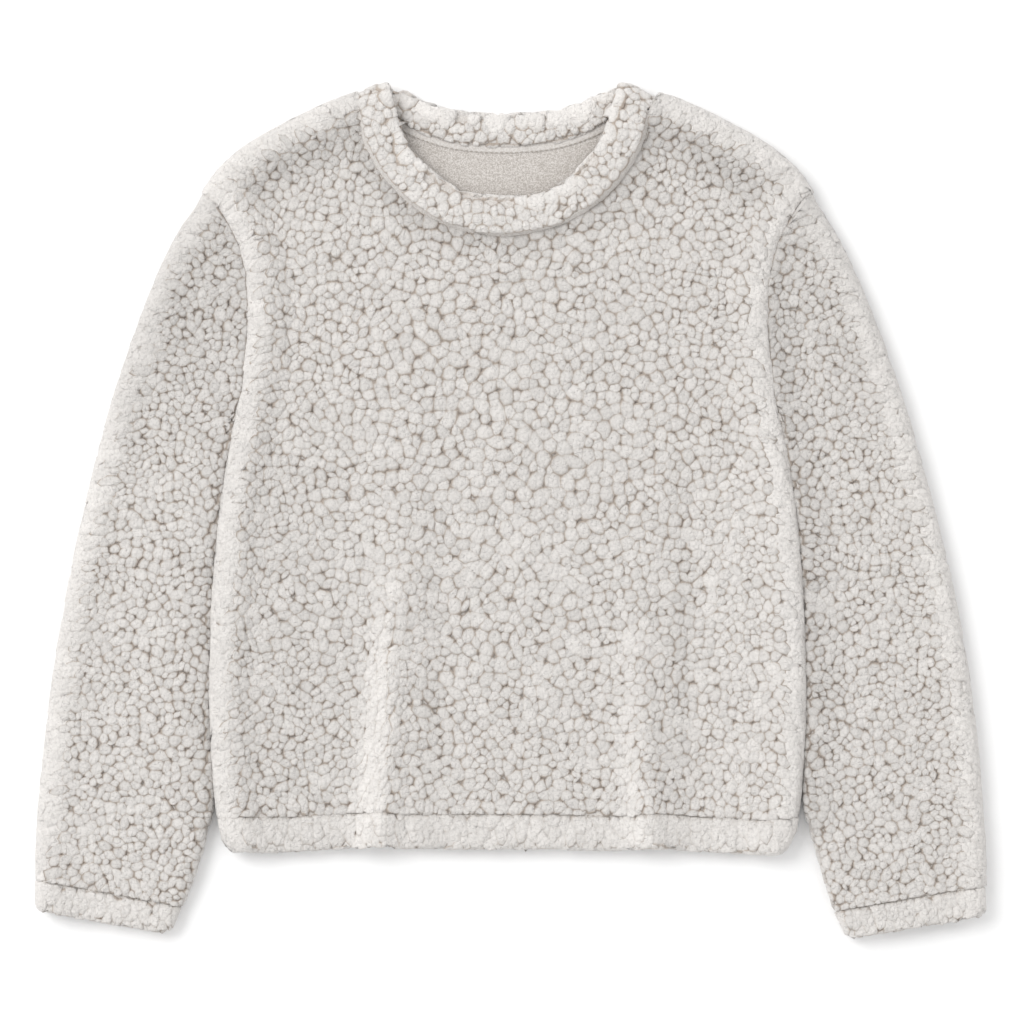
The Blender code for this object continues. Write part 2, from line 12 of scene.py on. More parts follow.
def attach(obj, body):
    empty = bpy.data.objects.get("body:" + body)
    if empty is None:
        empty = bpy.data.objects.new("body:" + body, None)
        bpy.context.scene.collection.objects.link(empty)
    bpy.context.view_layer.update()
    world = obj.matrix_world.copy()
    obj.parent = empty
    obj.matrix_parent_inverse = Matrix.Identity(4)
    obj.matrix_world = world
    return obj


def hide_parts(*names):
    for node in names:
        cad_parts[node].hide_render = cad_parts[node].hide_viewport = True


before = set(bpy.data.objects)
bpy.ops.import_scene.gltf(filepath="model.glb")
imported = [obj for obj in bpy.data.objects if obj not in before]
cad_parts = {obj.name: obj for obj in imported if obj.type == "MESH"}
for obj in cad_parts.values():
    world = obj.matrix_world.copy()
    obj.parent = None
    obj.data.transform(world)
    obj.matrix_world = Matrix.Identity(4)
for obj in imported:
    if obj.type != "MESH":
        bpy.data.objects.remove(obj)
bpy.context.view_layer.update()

# Sherpa fleece pullover, laid flat with its front up. Lengths are metres.
# Tables are millimetres: half is the distance from the centre line and drop the
# distance down from the top of the neckband.
mm = 0.001
garment = {
    "length": 760 * mm,          # top of the neckband to the lower cuff
    "bodyCentre": -2.5 * mm,
    "neckCentre": -6.0 * mm,
    "ply": 9.0 * mm,
    "plyGap": 0.3 * mm,
    "seamHeight": 14.0 * mm,
    "seamEdge": 1.0 * mm,
    "rollRadius": 16.0 * mm,
    "rimHeight": 9.0 * mm,
    "rimFade": 26.0 * mm,
    "hemRadius": 4.5 * mm,
    "hemToStitch": 27.0 * mm,
    "pileHeight": 3.3 * mm,
    "backing": 2.0 * mm,
}

armholeTable = [  # half, drop
    (267.5, 101.2), (257.8, 110.9), (250.5, 121.5), (241.1, 137.3), (235.8, 150.5), (230.8, 173.4),
    (229.2, 203.3), (230.1, 225.3), (233.2, 262.2), (236.3, 282.5), (241.6, 308.9)]
sideTable = [
    (241.6, 308.9), (247.3, 344.1), (251.2, 370.5), (254.3, 396.9), (259.2, 458.5), (260.5, 502.5),
    (261.4, 546.5), (259.6, 590.5), (257.0, 625.7), (253.6, 655.0), (250.5, 668.0), (245.0, 675.5)]
shoulderTable = [
    (133.5, 14.0), (150.9, 18.5), (188.3, 36.1), (220.9, 53.7), (244.6, 71.3), (261.2, 88.9),
    (267.5, 101.2)]
hemTable = [  # across from the body's centre line, drop
    (-245.0, 675.5), (-202.0, 676.7), (-159.0, 674.6), (-116.0, 671.6), (-87.0, 674.0), (4.0, 674.1),
    (47.0, 674.3), (90.0, 675.6), (133.0, 673.6), (176.0, 676.5), (228.0, 678.8), (245.0, 675.5)]
foldTables = {  # drop, across, height, half width
    "left": [(353, -95, 0, 20), (430, -99, 3.0, 22), (516, -104, 6.5, 23), (600, -108, 9.0, 25),
             (690, -118, 10.0, 27)],
    "right": [(400, 116, 0, 20), (470, 118, 3.0, 22), (540, 117, 5.5, 24), (610, 119, 7.0, 25),
              (690, 130, 7.5, 28)],
}
bandFrontTable = [  # seam half, seam drop, free half, free drop, height of the middle
    (0, 137.3, 0, 103.6, 17.5), (27, 134.2, 20, 102.1, 17.5), (53, 126.7, 39.3, 97.2, 17.7),
    (78, 112, 56, 87, 18.3), (97, 95, 71, 73, 19.2), (112, 75, 83.5, 56.5, 20.3),
    (122.5, 53, 92, 36, 21.6), (127.5, 28.5, 97, 11.5, 22.8)]
bandBackTable = [
    (127.5, 28.5, 97, 11.5, 7.4), (112, 27.5, 88, 10, 7.4), (94.3, 34.3, 80, 14, 7.4),
    (82.6, 42.6, 70, 18.5, 7.4), (60, 51.6, 50, 25.5, 7.4), (35.5, 57, 29, 29.2, 7.4),
    (0, 59.1, 0, 30.4, 7.4)]
sleeveTables = {  # outer half, outer drop, underarm half, underarm drop
    "left": [
        (267.8, 101.2, 242.2, 309.5), (295.4, 141.7, 243.5, 321), (318.5, 195, 246.5, 340),
        (336, 243, 249.5, 361), (351.5, 291, 252.5, 383), (364.5, 340, 255, 407),
        (376, 388, 257.5, 435), (386.9, 440.9, 259.8, 472), (396, 490, 260.8, 512),
        (403.5, 541, 261.8, 556), (409.5, 592, 260, 601), (413.8, 637, 259.6, 643),
        (416.4, 681, 271, 692), (417, 704.9, 285.5, 730), (418.2, 731.5, 296.5, 754)],
    "right": [
        (267.8, 101.2, 242.2, 309.5), (293.3, 141.7, 243.5, 321), (317.5, 195, 246.5, 340),
        (335.8, 243, 249.5, 361), (352, 291, 252.5, 383), (366.5, 340, 255, 407),
        (379, 388, 257.5, 435), (391.9, 440.9, 259.8, 472), (401.5, 490, 260.8, 512),
        (409.5, 541, 261.8, 556), (415.5, 592, 260, 601), (419.2, 637, 261.5, 643),
        (422.3, 684, 274.5, 694), (422.9, 708, 286.5, 733), (423.4, 736.5, 297.5, 758)],
}


def place(centre, table, sign=1):
    table = np.array(table, float)
    return np.column_stack([centre + sign * table[:, 0] * mm, garment["length"] / 2 - table[:, 1] * mm])


def smoothRows(rows, count, alongColumns=(0, 1)):
    # Catmull-Rom through the rows, read at even steps of length over the named columns
    rows = np.array(rows, float)
    dense = [rows[0]]
    for i in range(len(rows) - 1):
        before, start, end = rows[max(i - 1, 0)], rows[i], rows[i + 1]
        after = rows[min(i + 2, len(rows) - 1)]
        for t in np.linspace(0, 1, 17)[1:]:
            dense.append(0.5 * (2 * start + (end - before) * t
                                + (2 * before - 5 * start + 4 * end - after) * t ** 2
                                + (3 * start - before - 3 * end + after) * t ** 3))
    dense = np.array(dense)
    steps = np.linalg.norm(np.diff(dense[:, list(alongColumns)], axis=0), axis=1)
    reach = np.concatenate([[0], np.cumsum(steps)])
    wanted = np.linspace(0, reach[-1], count) if np.isscalar(count) else np.asarray(count) * reach[-1]
    return np.column_stack([np.interp(wanted, reach, dense[:, k]) for k in range(rows.shape[1])])


def smoothFade(value):
    value = np.clip(value, 0, 1)
    return value * value * (3 - 2 * value)


def nearTo(distance, start, width):
    # 1 up to the start, fading to 0 over the width
    return 1 - smoothFade((distance - start) / width)


def bellShape(value, centre, width):
    return np.exp(-((value - centre) / width) ** 2)


def acrossDrop(points):
    # the tables' own measures of points, in millimetres
    return (points[:, 0] - garment["bodyCentre"]) / mm, (garment["length"] / 2 - points[:, 1]) / mm


def quarterRound(distance, radius):
    inside = 1 - np.clip(distance, 0, radius) / radius
    return np.sqrt(np.clip(1 - inside ** 2, 0, 1))


def nearestOnPath(points, path):
    # distance to a path, and the way to its nearest point
    best = np.full(len(points), 1e9)
    way = np.zeros((len(points), 2))
    for a, b in zip(path[:-1], path[1:]):
        span = b - a
        t = np.clip(((points - a) @ span) / max(span @ span, 1e-12), 0, 1)
        gap = a + t[:, None] * span - points
        distance = np.hypot(gap[:, 0], gap[:, 1])
        closer = distance < best
        best[closer] = distance[closer]
        way[closer] = gap[closer]
    return best, way


def gapTo(points, path):
    return nearestOnPath(points[:, :2], path)[0]


def edgeShares(length, middleCount, depths):
    # shares of a width: close together at both ends, even between
    depths = np.array(depths)
    middle = np.linspace(depths[-1], length - depths[-1], middleCount)[1:-1]
    return np.concatenate([depths, middle, length - depths[::-1]]) / length


def bodyPaths(bandTable, hemLift):
    centre = garment["bodyCentre"]
    right = np.vstack([place(centre, sideTable[::-1]), place(centre, armholeTable[::-1])[1:]])
    left = np.vstack([place(centre, sideTable[::-1], -1), place(centre, armholeTable[::-1], -1)[1:]])
    seam = [(row[0], row[1]) for row in bandTable]
    if seam[0][0] > 1:
        seam = seam[::-1]
    halfNeck = place(garment["neckCentre"], seam)
    leftNeck = place(garment["neckCentre"], seam, -1)[::-1]
    neck = np.vstack([leftNeck, halfNeck[1:]])
    rightShoulder = place(centre, shoulderTable)
    leftShoulder = place(centre, shoulderTable, -1)[::-1]
    hem = place(centre, hemTable)
    hem[:, 1] += hemLift
    top = np.vstack([smoothRows(leftShoulder, 40), smoothRows(neck, 90), smoothRows(rightShoulder, 40)])
    return {
        "left": smoothRows(left, 120), "right": smoothRows(right, 120), "hem": smoothRows(hem, 120),
        "neck": smoothRows(neck, 90), "top": top,
        "sewn": [smoothRows(left, 90), smoothRows(right, 90), smoothRows(leftShoulder, 30),
                 smoothRows(rightShoulder, 30)],
    }


def sewnDistance(points, paths):
    return np.min([nearestOnPath(points, path)[0] for path in paths["sewn"]], axis=0)


def neckFade(points, paths):
    return smoothFade((nearestOnPath(points, paths["neck"])[0] - 8 * mm) / (30 * mm))


def foldHeight(points):
    across, drop = acrossDrop(points)
    height = np.zeros(len(points))
    for table in foldTables.values():
        rows = np.array(table, float)
        crest = np.interp(drop, rows[:, 0], rows[:, 1])
        top = np.interp(drop, rows[:, 0], rows[:, 2], left=0)
        width = np.interp(drop, rows[:, 0], rows[:, 3])
        away = np.clip(np.abs(across - crest) / width, 0, 1)
        height += top * mm * np.cos(away * math.pi / 2) ** 2
    return height


creaseTable = [  # soft troughs: (across, drop, depth) along each, then half width, in millimetres
    ([(-66, 350, 0), (-63, 420, -1.8), (-61, 510, -3.0), (-62, 590, -2.6), (-66, 650, -0.6)], 19),
    ([(158, 350, 0), (157, 430, -1.6), (158, 520, -2.8), (160, 600, -2.4), (164, 650, -0.5)], 17),
    ([(-215, 330, 0), (-196, 352, -1.6), (-168, 366, -1.2), (-140, 372, 0)], 12),
    ([(216, 322, 0), (190, 350, -1.4), (160, 371, -1.6), (128, 384, 0)], 12),
    ([(-205, 520, 0), (-188, 541, -1.3), (-160, 552, 0)], 11),
]
sleeveCreases = {
    "left": [([(-262, 330, 0), (-285, 348, -1.5), (-318, 356, 0)], 11),
             ([(-268, 420, 0), (-300, 433, -1.7), (-345, 430, -0.8), (-362, 424, 0)], 12),
             ([(-290, 560, 0), (-330, 548, -1.3), (-372, 552, 0)], 11)],
    "right": [([(262, 322, 0), (290, 345, -1.6), (322, 350, 0)], 11),
              ([(280, 448, 0), (315, 440, -1.4), (352, 446, -1.2), (372, 455, 0)], 12),
              ([(300, 590, 0), (338, 572, -1.5), (380, 566, 0)], 12)],
}


def creaseDepth(points, table):
    across, drop = acrossDrop(points)
    total = np.zeros(len(points))
    for line, halfWidth in table:
        rows = smoothRows(line, 40)
        gap2 = (across[:, None] - rows[:, 0]) ** 2 + (drop[:, None] - rows[:, 1]) ** 2
        nearest = gap2.argmin(axis=1)
        away = np.clip(np.sqrt(gap2[np.arange(len(points)), nearest]) / halfWidth, 0, 1)
        total += rows[nearest, 2] * mm * np.cos(away * math.pi / 2) ** 2
    return total


def frontLevels(points, paths):
    sewn = sewnDistance(points, paths)
    neck = nearestOnPath(points, paths["neck"])[0]
    upper = 2 * garment["ply"] + garment["plyGap"] + foldHeight(points) + creaseDepth(points, creaseTable)
    upper += garment["rimHeight"] * nearTo(sewn, garment["rollRadius"], garment["rimFade"])
    upper -= 3 * mm * (1 - quarterRound(neck, 7 * mm))
    seamTop = garment["seamHeight"] + garment["seamEdge"]
    upper = seamTop + (upper - seamTop) * quarterRound(sewn, garment["rollRadius"])
    lower = garment["ply"] + garment["plyGap"] + foldHeight(points) * smoothFade(sewn / (14 * mm))
    toSeam = smoothFade((14 * mm - sewn) / (10 * mm)) * neckFade(points, paths)
    lower += (garment["seamHeight"] - lower) * toSeam
    return upper, lower


def backLevels(points, paths):
    sewn = sewnDistance(points, paths)
    seam = garment["ply"] + (garment["seamHeight"] - garment["ply"]) * neckFade(points, paths)
    lower = (seam - garment["seamEdge"]) * (1 - quarterRound(sewn, garment["rollRadius"]))
    upper = garment["ply"] + (seam - garment["ply"]) * smoothFade((11 * mm - sewn) / (7 * mm))
    return lower, upper


def panelSurface(paths, levels, turn):
    # grid of points over one body panel, rows from the neck to the hem and round its turned edge
    depths = [0, 0.5 * mm, 1.6 * mm, 3.5 * mm, 6.5 * mm, 10 * mm, 14 * mm, 18 * mm]
    columns = edgeShares(520 * mm, 84, depths)
    rows = edgeShares(655 * mm, 100, depths)[::-1]
    rows = rows[rows > 10 * mm / 0.655]
    rows = np.concatenate([rows, [0.012, 0.009, 0.0045, 0.0]])
    bottom = smoothRows(paths["hem"], columns)
    bottom[:, 1] += garment["hemRadius"]
    top = smoothRows(paths["top"], columns)
    left = smoothRows(paths["left"], rows)
    right = smoothRows(paths["right"], rows)
    s = columns[None, :, None]
    v = rows[:, None, None]
    flat = (1 - v) * bottom[None] + v * top[None] + (1 - s) * left[:, None] + s * right[:, None]
    flat -= (1 - s) * ((1 - v) * bottom[0] + v * top[0]) + s * ((1 - v) * bottom[-1] + v * top[-1])
    points = flat.reshape(-1, 2)
    outer, inner = levels(points, paths)
    grid = np.column_stack([points, outer]).reshape(len(rows), len(columns), 3)
    edgeXY = flat[-1]
    outerEdge, innerEdge = levels(edgeXY, paths)
    middle = (outerEdge + innerEdge) / 2
    radius = (outerEdge - innerEdge) / 2
    turned = []
    for angle in np.radians([25, 50, 75, 100, 125, 150, 175]):
        drop = np.minimum(np.abs(radius), garment["hemRadius"]) * math.sin(angle)
        height = middle + radius * math.cos(angle)
        turned.append(np.column_stack([edgeXY[:, 0], edgeXY[:, 1] - drop, height]))
    turned.append(np.column_stack([edgeXY[:, 0], edgeXY[:, 1] + turn, middle - radius]))
    return np.concatenate([grid, np.array(turned)]), len(rows)


def gridNormals(grid, closedColumns=False, closedRows=False, flip=False):
    def difference(values, axis, closed):
        if closed:
            return np.roll(values, -1, axis) - np.roll(values, 1, axis)
        return np.gradient(values, axis=axis)
    alongColumns = difference(grid, 1, closedColumns)
    alongRows = difference(grid, 0, closedRows)
    normals = np.cross(alongRows, alongColumns)
    normals /= np.maximum(np.linalg.norm(normals, axis=2, keepdims=True), 1e-12)
    return -normals if flip else normals


def meshObject(name, mesh):
    piece = bpy.data.objects.new(name, mesh)
    bpy.context.scene.collection.objects.link(piece)
    return piece


def bmeshObject(name, bm):
    mesh = bpy.data.meshes.new(name)
    bm.to_mesh(mesh)
    bm.free()
    mesh.shade_smooth()
    return meshObject(name, mesh)


def gridObject(name, grid, normals, closedColumns=False, closedRows=False):
    # a bmesh grid whose points are moved onto the worked-out surface, then closed where it meets itself
    if closedColumns:
        grid = np.concatenate([grid, grid[:, :1]], axis=1)
        normals = np.concatenate([normals, normals[:, :1]], axis=1)
    if closedRows:
        grid = np.concatenate([grid, grid[:1]], axis=0)
        normals = np.concatenate([normals, normals[:1]], axis=0)
    rowCount, columnCount = grid.shape[:2]
    bm = bmesh.new()
    bmesh.ops.create_grid(bm, x_segments=columnCount - 1, y_segments=rowCount - 1, size=1)
    wanted = {}
    for vert in bm.verts:
        column = round((vert.co.x + 1) / 2 * (columnCount - 1))
        row = round((1 - vert.co.y) / 2 * (rowCount - 1))
        vert.co = grid[row, column]
        wanted[vert] = Vector(normals[row, column])
    for face in bm.faces:
        face.normal_update()
    if sum(face.normal.dot(wanted[face.verts[0]]) for face in bm.faces) < 0:
        bmesh.ops.reverse_faces(bm, faces=bm.faces)
    bmesh.ops.remove_doubles(bm, verts=bm.verts, dist=0.00001)
    bmesh.ops.dissolve_degenerate(bm, edges=bm.edges, dist=0.00001)
    return bmeshObject(name, bm)


def sleeveSurface(side):
    # loops of points round a flattened sleeve, rows from the armhole to the cuff and round its edge
    sign = -1 if side == "left" else 1
    table = np.array(sleeveTables[side], float)
    outer = place(garment["bodyCentre"], table[:, :2], sign)
    inner = place(garment["bodyCentre"], table[:, 2:], sign)
    shares = np.concatenate([np.linspace(0, 0.962, sleeve["rows"]),
                             [0.970, 0.978, 0.985, 0.991, 0.996, 1.0]])
    rows = smoothRows(np.hstack([outer, inner]), shares, (0, 1, 2, 3))
    cuffLine = rows[-1, 2:] - rows[-1, :2]
    outward = np.array([cuffLine[1], -cuffLine[0]])
    outward /= np.linalg.norm(outward)
    if outward[1] > 0:
        outward = -outward
    drawnBack = smoothFade((shares - 0.86) / 0.14)[:, None] * outward * sleeve["cuffRadius"]
    rows[:, :2] -= drawnBack
    rows[:, 2:] -= drawnBack
    armhole = smoothRows(place(garment["bodyCentre"], armholeTable, sign), 60)
    armhole[:, 0] += sign * garment["plyGap"]
    depths = [0, 0.4 * mm, 1.4 * mm, 3.2 * mm, 5.6 * mm, 8.6 * mm, 12 * mm]
    half = sleeve["thickness"] / 2
    loops = []
    for row in rows:
        toEnd = max((rows[-1, :2] - row[:2]) @ outward, 0) + sleeve["cuffRadius"]
        start, end = cornerEnds(row[:2], row[2:], toEnd)
        length = np.linalg.norm(end - start)
        shares = edgeShares(length, sleeve["across"], depths)
        straight = start + (end - start) * shares[:, None]
        bend = 1 - smoothFade(np.linalg.norm(start - armhole[0]) / (170 * mm))
        onArmhole = smoothRows(armhole, shares)
        chord = armhole[0] + (armhole[-1] - armhole[0]) * shares[:, None]
        flat = straight + (onArmhole - chord) * bend
        fromOuter = shares * length
        edge = np.minimum(fromOuter, length - fromOuter)
        level = sleeve["thickness"] + sleeveRise(fromOuter) + creaseDepth(flat, sleeveCreases[side])
        roundEdge = quarterRound(edge, sleeve["foldRadius"])
        top = np.column_stack([flat, half + (level - half) * roundEdge])
        low = np.column_stack([flat, half - half * roundEdge])
        loops.append(np.vstack([top, low[-2:0:-1]]))
    grid = np.array(loops)
    normals = gridNormals(grid, closedColumns=True)
    if normals[len(rows) // 2, len(grid[0]) // 4, 2] < 0:
        normals = -normals
    radius = sleeve["cuffRadius"]
    centre = grid[-1] - normals[-1] * radius
    away = np.array([outward[0], outward[1], 0])
    turned = []
    across = cuffLine / np.linalg.norm(cuffLine)
    middle = (rows[-1, :2] + rows[-1, 2:]) / 2
    for angle in np.radians([22, 45, 68, 90, 112, 135, 158, 180]):
        loop = centre + radius * (math.cos(angle) * normals[-1] + math.sin(angle) * away)
        half, full = [np.linalg.norm(np.subtract(*cornerEnds(rows[-1, :2], rows[-1, 2:], toEnd))) / 2
                      for toEnd in (radius * (1 - math.sin(angle)), radius)]
        fromMiddle = (loop[:, :2] - middle) @ across
        loop[:, :2] += np.outer(fromMiddle * (half / full - 1), across)
        turned.append(loop)
    turned.append(turned[-1] - away * sleeve["turnedIn"])
    return np.concatenate([grid, np.array(turned)]), len(rows), outward


def cornerEnds(start, end, toEnd):
    # draws the two edges in where the cuff's corners are rounded
    radius = sleeve["cornerRadius"]
    inset = radius - math.sqrt(radius ** 2 - max(radius - toEnd, 0) ** 2)
    way = (end - start) / np.linalg.norm(end - start)
    return start + way * inset, end - way * inset


def sleeveRise(fromOuter):
    # the outer fold stands a little proud
    return sleeve["rim"] * nearTo(fromOuter, sleeve["foldRadius"], sleeve["rimFade"])


sleeve = {
    "thickness": 20.5 * mm,
    "foldRadius": 12 * mm,
    "rim": 4.0 * mm,
    "rimFade": 30 * mm,
    "cuffRadius": 4.0 * mm,
    "cornerRadius": 8.0 * mm,
    "turnedIn": 12 * mm,
    "rows": 96,
    "across": 18,
}

band = {
    "halfThickness": 7.4 * mm,
    "sectionPoints": 28,
    "frontRows": 46,
    "backRows": 34,
    "endOverlap": 3.0,
    "foldAngles": (75, 60, 45, 30, 15, 0, -15, -30, -45, -60, -75),
}


def bandSurface():
    front = smoothRows(bandFrontTable, band["frontRows"])
    back = smoothRows(bandBackTable, band["backRows"])
    rows = [(row, 90.0) for row in front]
    last = front[-1]
    radius = (bandFrontTable[-1][4] - bandBackTable[0][4]) / 2
    along = np.array([last[0] - last[2], last[1] - last[3]])
    along /= np.linalg.norm(along)
    outward = np.array([along[1], -along[0]])
    for angle in band["foldAngles"]:
        shift = outward * radius * math.cos(math.radians(angle))
        middle = bandBackTable[0][4] + radius * (1 + math.sin(math.radians(angle)))
        wider = band["endOverlap"] * math.cos(math.radians(angle)) * along
        rows.append((np.array([last[0] + shift[0] + wider[0], last[1] + shift[1] + wider[1],
                               last[2] + shift[0], last[3] + shift[1], middle]), angle))
    rows += [(row, -90.0) for row in back]
    rows += [(row, angle, True) for row, angle in rows[-2:0:-1]]
    turn = 2 * math.pi * (np.arange(band["sectionPoints"]) + 0.5) / band["sectionPoints"]
    share = 0.5 + 0.5 * np.cos(turn)
    thick = band["halfThickness"] / mm * np.sign(np.sin(turn)) * np.abs(np.sin(turn)) ** 0.7
    loops = []
    for entry in rows:
        row, angle = entry[0], math.radians(entry[1])
        side = -1 if len(entry) > 2 else 1
        half = row[0] + (row[2] - row[0]) * share + outward[0] * math.cos(angle) * thick
        drop = row[1] + (row[3] - row[1]) * share + outward[1] * math.cos(angle) * thick
        height = np.maximum(row[4] + math.sin(angle) * thick, 0) * mm
        flat = place(garment["neckCentre"], np.column_stack([half, drop]), side)
        loops.append(np.column_stack([flat, height]))
    return np.array(loops)


def baseData(piece):
    # triangles, smooth normals and a search tree of a cloth sheet
    mesh = piece.data
    mesh.calc_loop_triangles()
    points = np.zeros(len(mesh.vertices) * 3)
    mesh.vertices.foreach_get("co", points)
    points = points.reshape(-1, 3)
    normals = np.zeros(len(mesh.vertices) * 3)
    mesh.vertices.foreach_get("normal", normals)
    normals = normals.reshape(-1, 3)
    triangles = np.zeros(len(mesh.loop_triangles) * 3, int)
    mesh.loop_triangles.foreach_get("vertices", triangles)
    triangles = triangles.reshape(-1, 3)
    tree = BVHTree.FromPolygons([Vector(p) for p in points], triangles.tolist())
    return points, normals, triangles, tree


def throwSeeds(base, look, rng):
    # darts thrown over the cloth, kept where they are clear of earlier ones
    points, normals, triangles, _ = base
    a, b, c = points[triangles[:, 0]], points[triangles[:, 1]], points[triangles[:, 2]]
    areas = np.linalg.norm(np.cross(b - a, c - a), axis=1) / 2
    count = int(areas.sum() / (look["finest"] ** 2) * 9)
    picked = rng.choice(len(areas), count, p=areas / areas.sum())
    u, w = rng.random(count), rng.random(count)
    over = u + w > 1
    u[over], w[over] = 1 - u[over], 1 - w[over]
    weights = np.column_stack([1 - u - w, u, w])
    place3 = np.einsum("nk,nkd->nd", weights, points[triangles[picked]])
    normal3 = np.einsum("nk,nkd->nd", weights, normals[triangles[picked]])
    normal3 /= np.linalg.norm(normal3, axis=1, keepdims=True)
    size = look["size"](place3, normal3) * (0.60 + 0.82 * rng.random(count) ** 1.35)
    keep = look["keep"](place3, normal3)
    place3, normal3, size = place3[keep], normal3[keep], size[keep]
    order = np.argsort(-size + rng.random(len(size)) * look["finest"] * 1.6)
    buckets = {}
    chosen = []
    keys = np.floor(place3 / look["coarsest"]).astype(int).tolist()
    positions, sizes, facing = place3.tolist(), size.tolist(), normal3.tolist()

    def isClear(index):
        x, y, z = positions[index]
        nx, ny, nz = facing[index]
        kx, ky, kz = keys[index]
        for dx, dy, dz in product((-1, 0, 1), repeat=3):
            for other in buckets.get((kx + dx, ky + dy, kz + dz), ()):
                ox, oy, oz = positions[other]
                gap = look["packing"] * (sizes[index] + sizes[other])
                if (x - ox) ** 2 + (y - oy) ** 2 + (z - oz) ** 2 < gap * gap:
                    fx, fy, fz = facing[other]
                    if nx * fx + ny * fy + nz * fz > -0.2:  # not the far side of the fold
                        return False
        return True

    for index in order.tolist():
        if isClear(index):
            buckets.setdefault(tuple(keys[index]), []).append(index)
            chosen.append(index)
    chosen = np.array(chosen)
    return place3[chosen], normal3[chosen], size[chosen]


def flowWay(points):
    # slowly turning direction of the curls over the cloth
    x, y = points[:, 0], points[:, 1]
    angle = 1.7 * np.sin(38 * x + 17 * y + 0.6) + 1.5 * np.sin(45 * y - 21 * x + 1.9)
    return np.column_stack([np.cos(angle), np.sin(angle), np.zeros(len(points))])


matting = {"patches": 1500, "corner": (0.43, 0.39), "smallest": 4 * mm, "largest": 11 * mm, "weakest": 0.2}


def matted(points):
    # 1 in the scattered patches where the curls have run together
    patches = np.random.default_rng(5)
    count, corner = matting["patches"], np.array(matting["corner"])
    centres = patches.uniform(-corner, corner, (count, 2))
    radii = patches.uniform(matting["smallest"], matting["largest"], count)
    strengths = patches.uniform(matting["weakest"], 1, count)
    share = np.zeros(len(points))
    for centre, radius, strength in zip(centres, radii, strengths):
        gap = np.hypot(points[:, 0] - centre[0], points[:, 1] - centre[1])
        share = np.maximum(share, strength * smoothFade(1.6 * (1 - gap / radius)))
    return share


tuft = {
    "loose": 0.65,        # how much longer than wide an uncombed tuft may be
    "push": 0.55,         # how far a large tuft pushes a small one back
    "shortest": 0.12,     # least reach, as a share of the size
    "evened": 0.97,       # evens out the reach from side to side
    "spike": 1.45,        # most that one side may pass the next
    "softSpread": 0.36,
    "spreadInShade": 0.05,
    "sideTone": 0.84,     # least colour ramp value on steep sides, which lightens the painted crease shade there
    "stitchTone": 0.86,
    "softTone": 0.95,
}


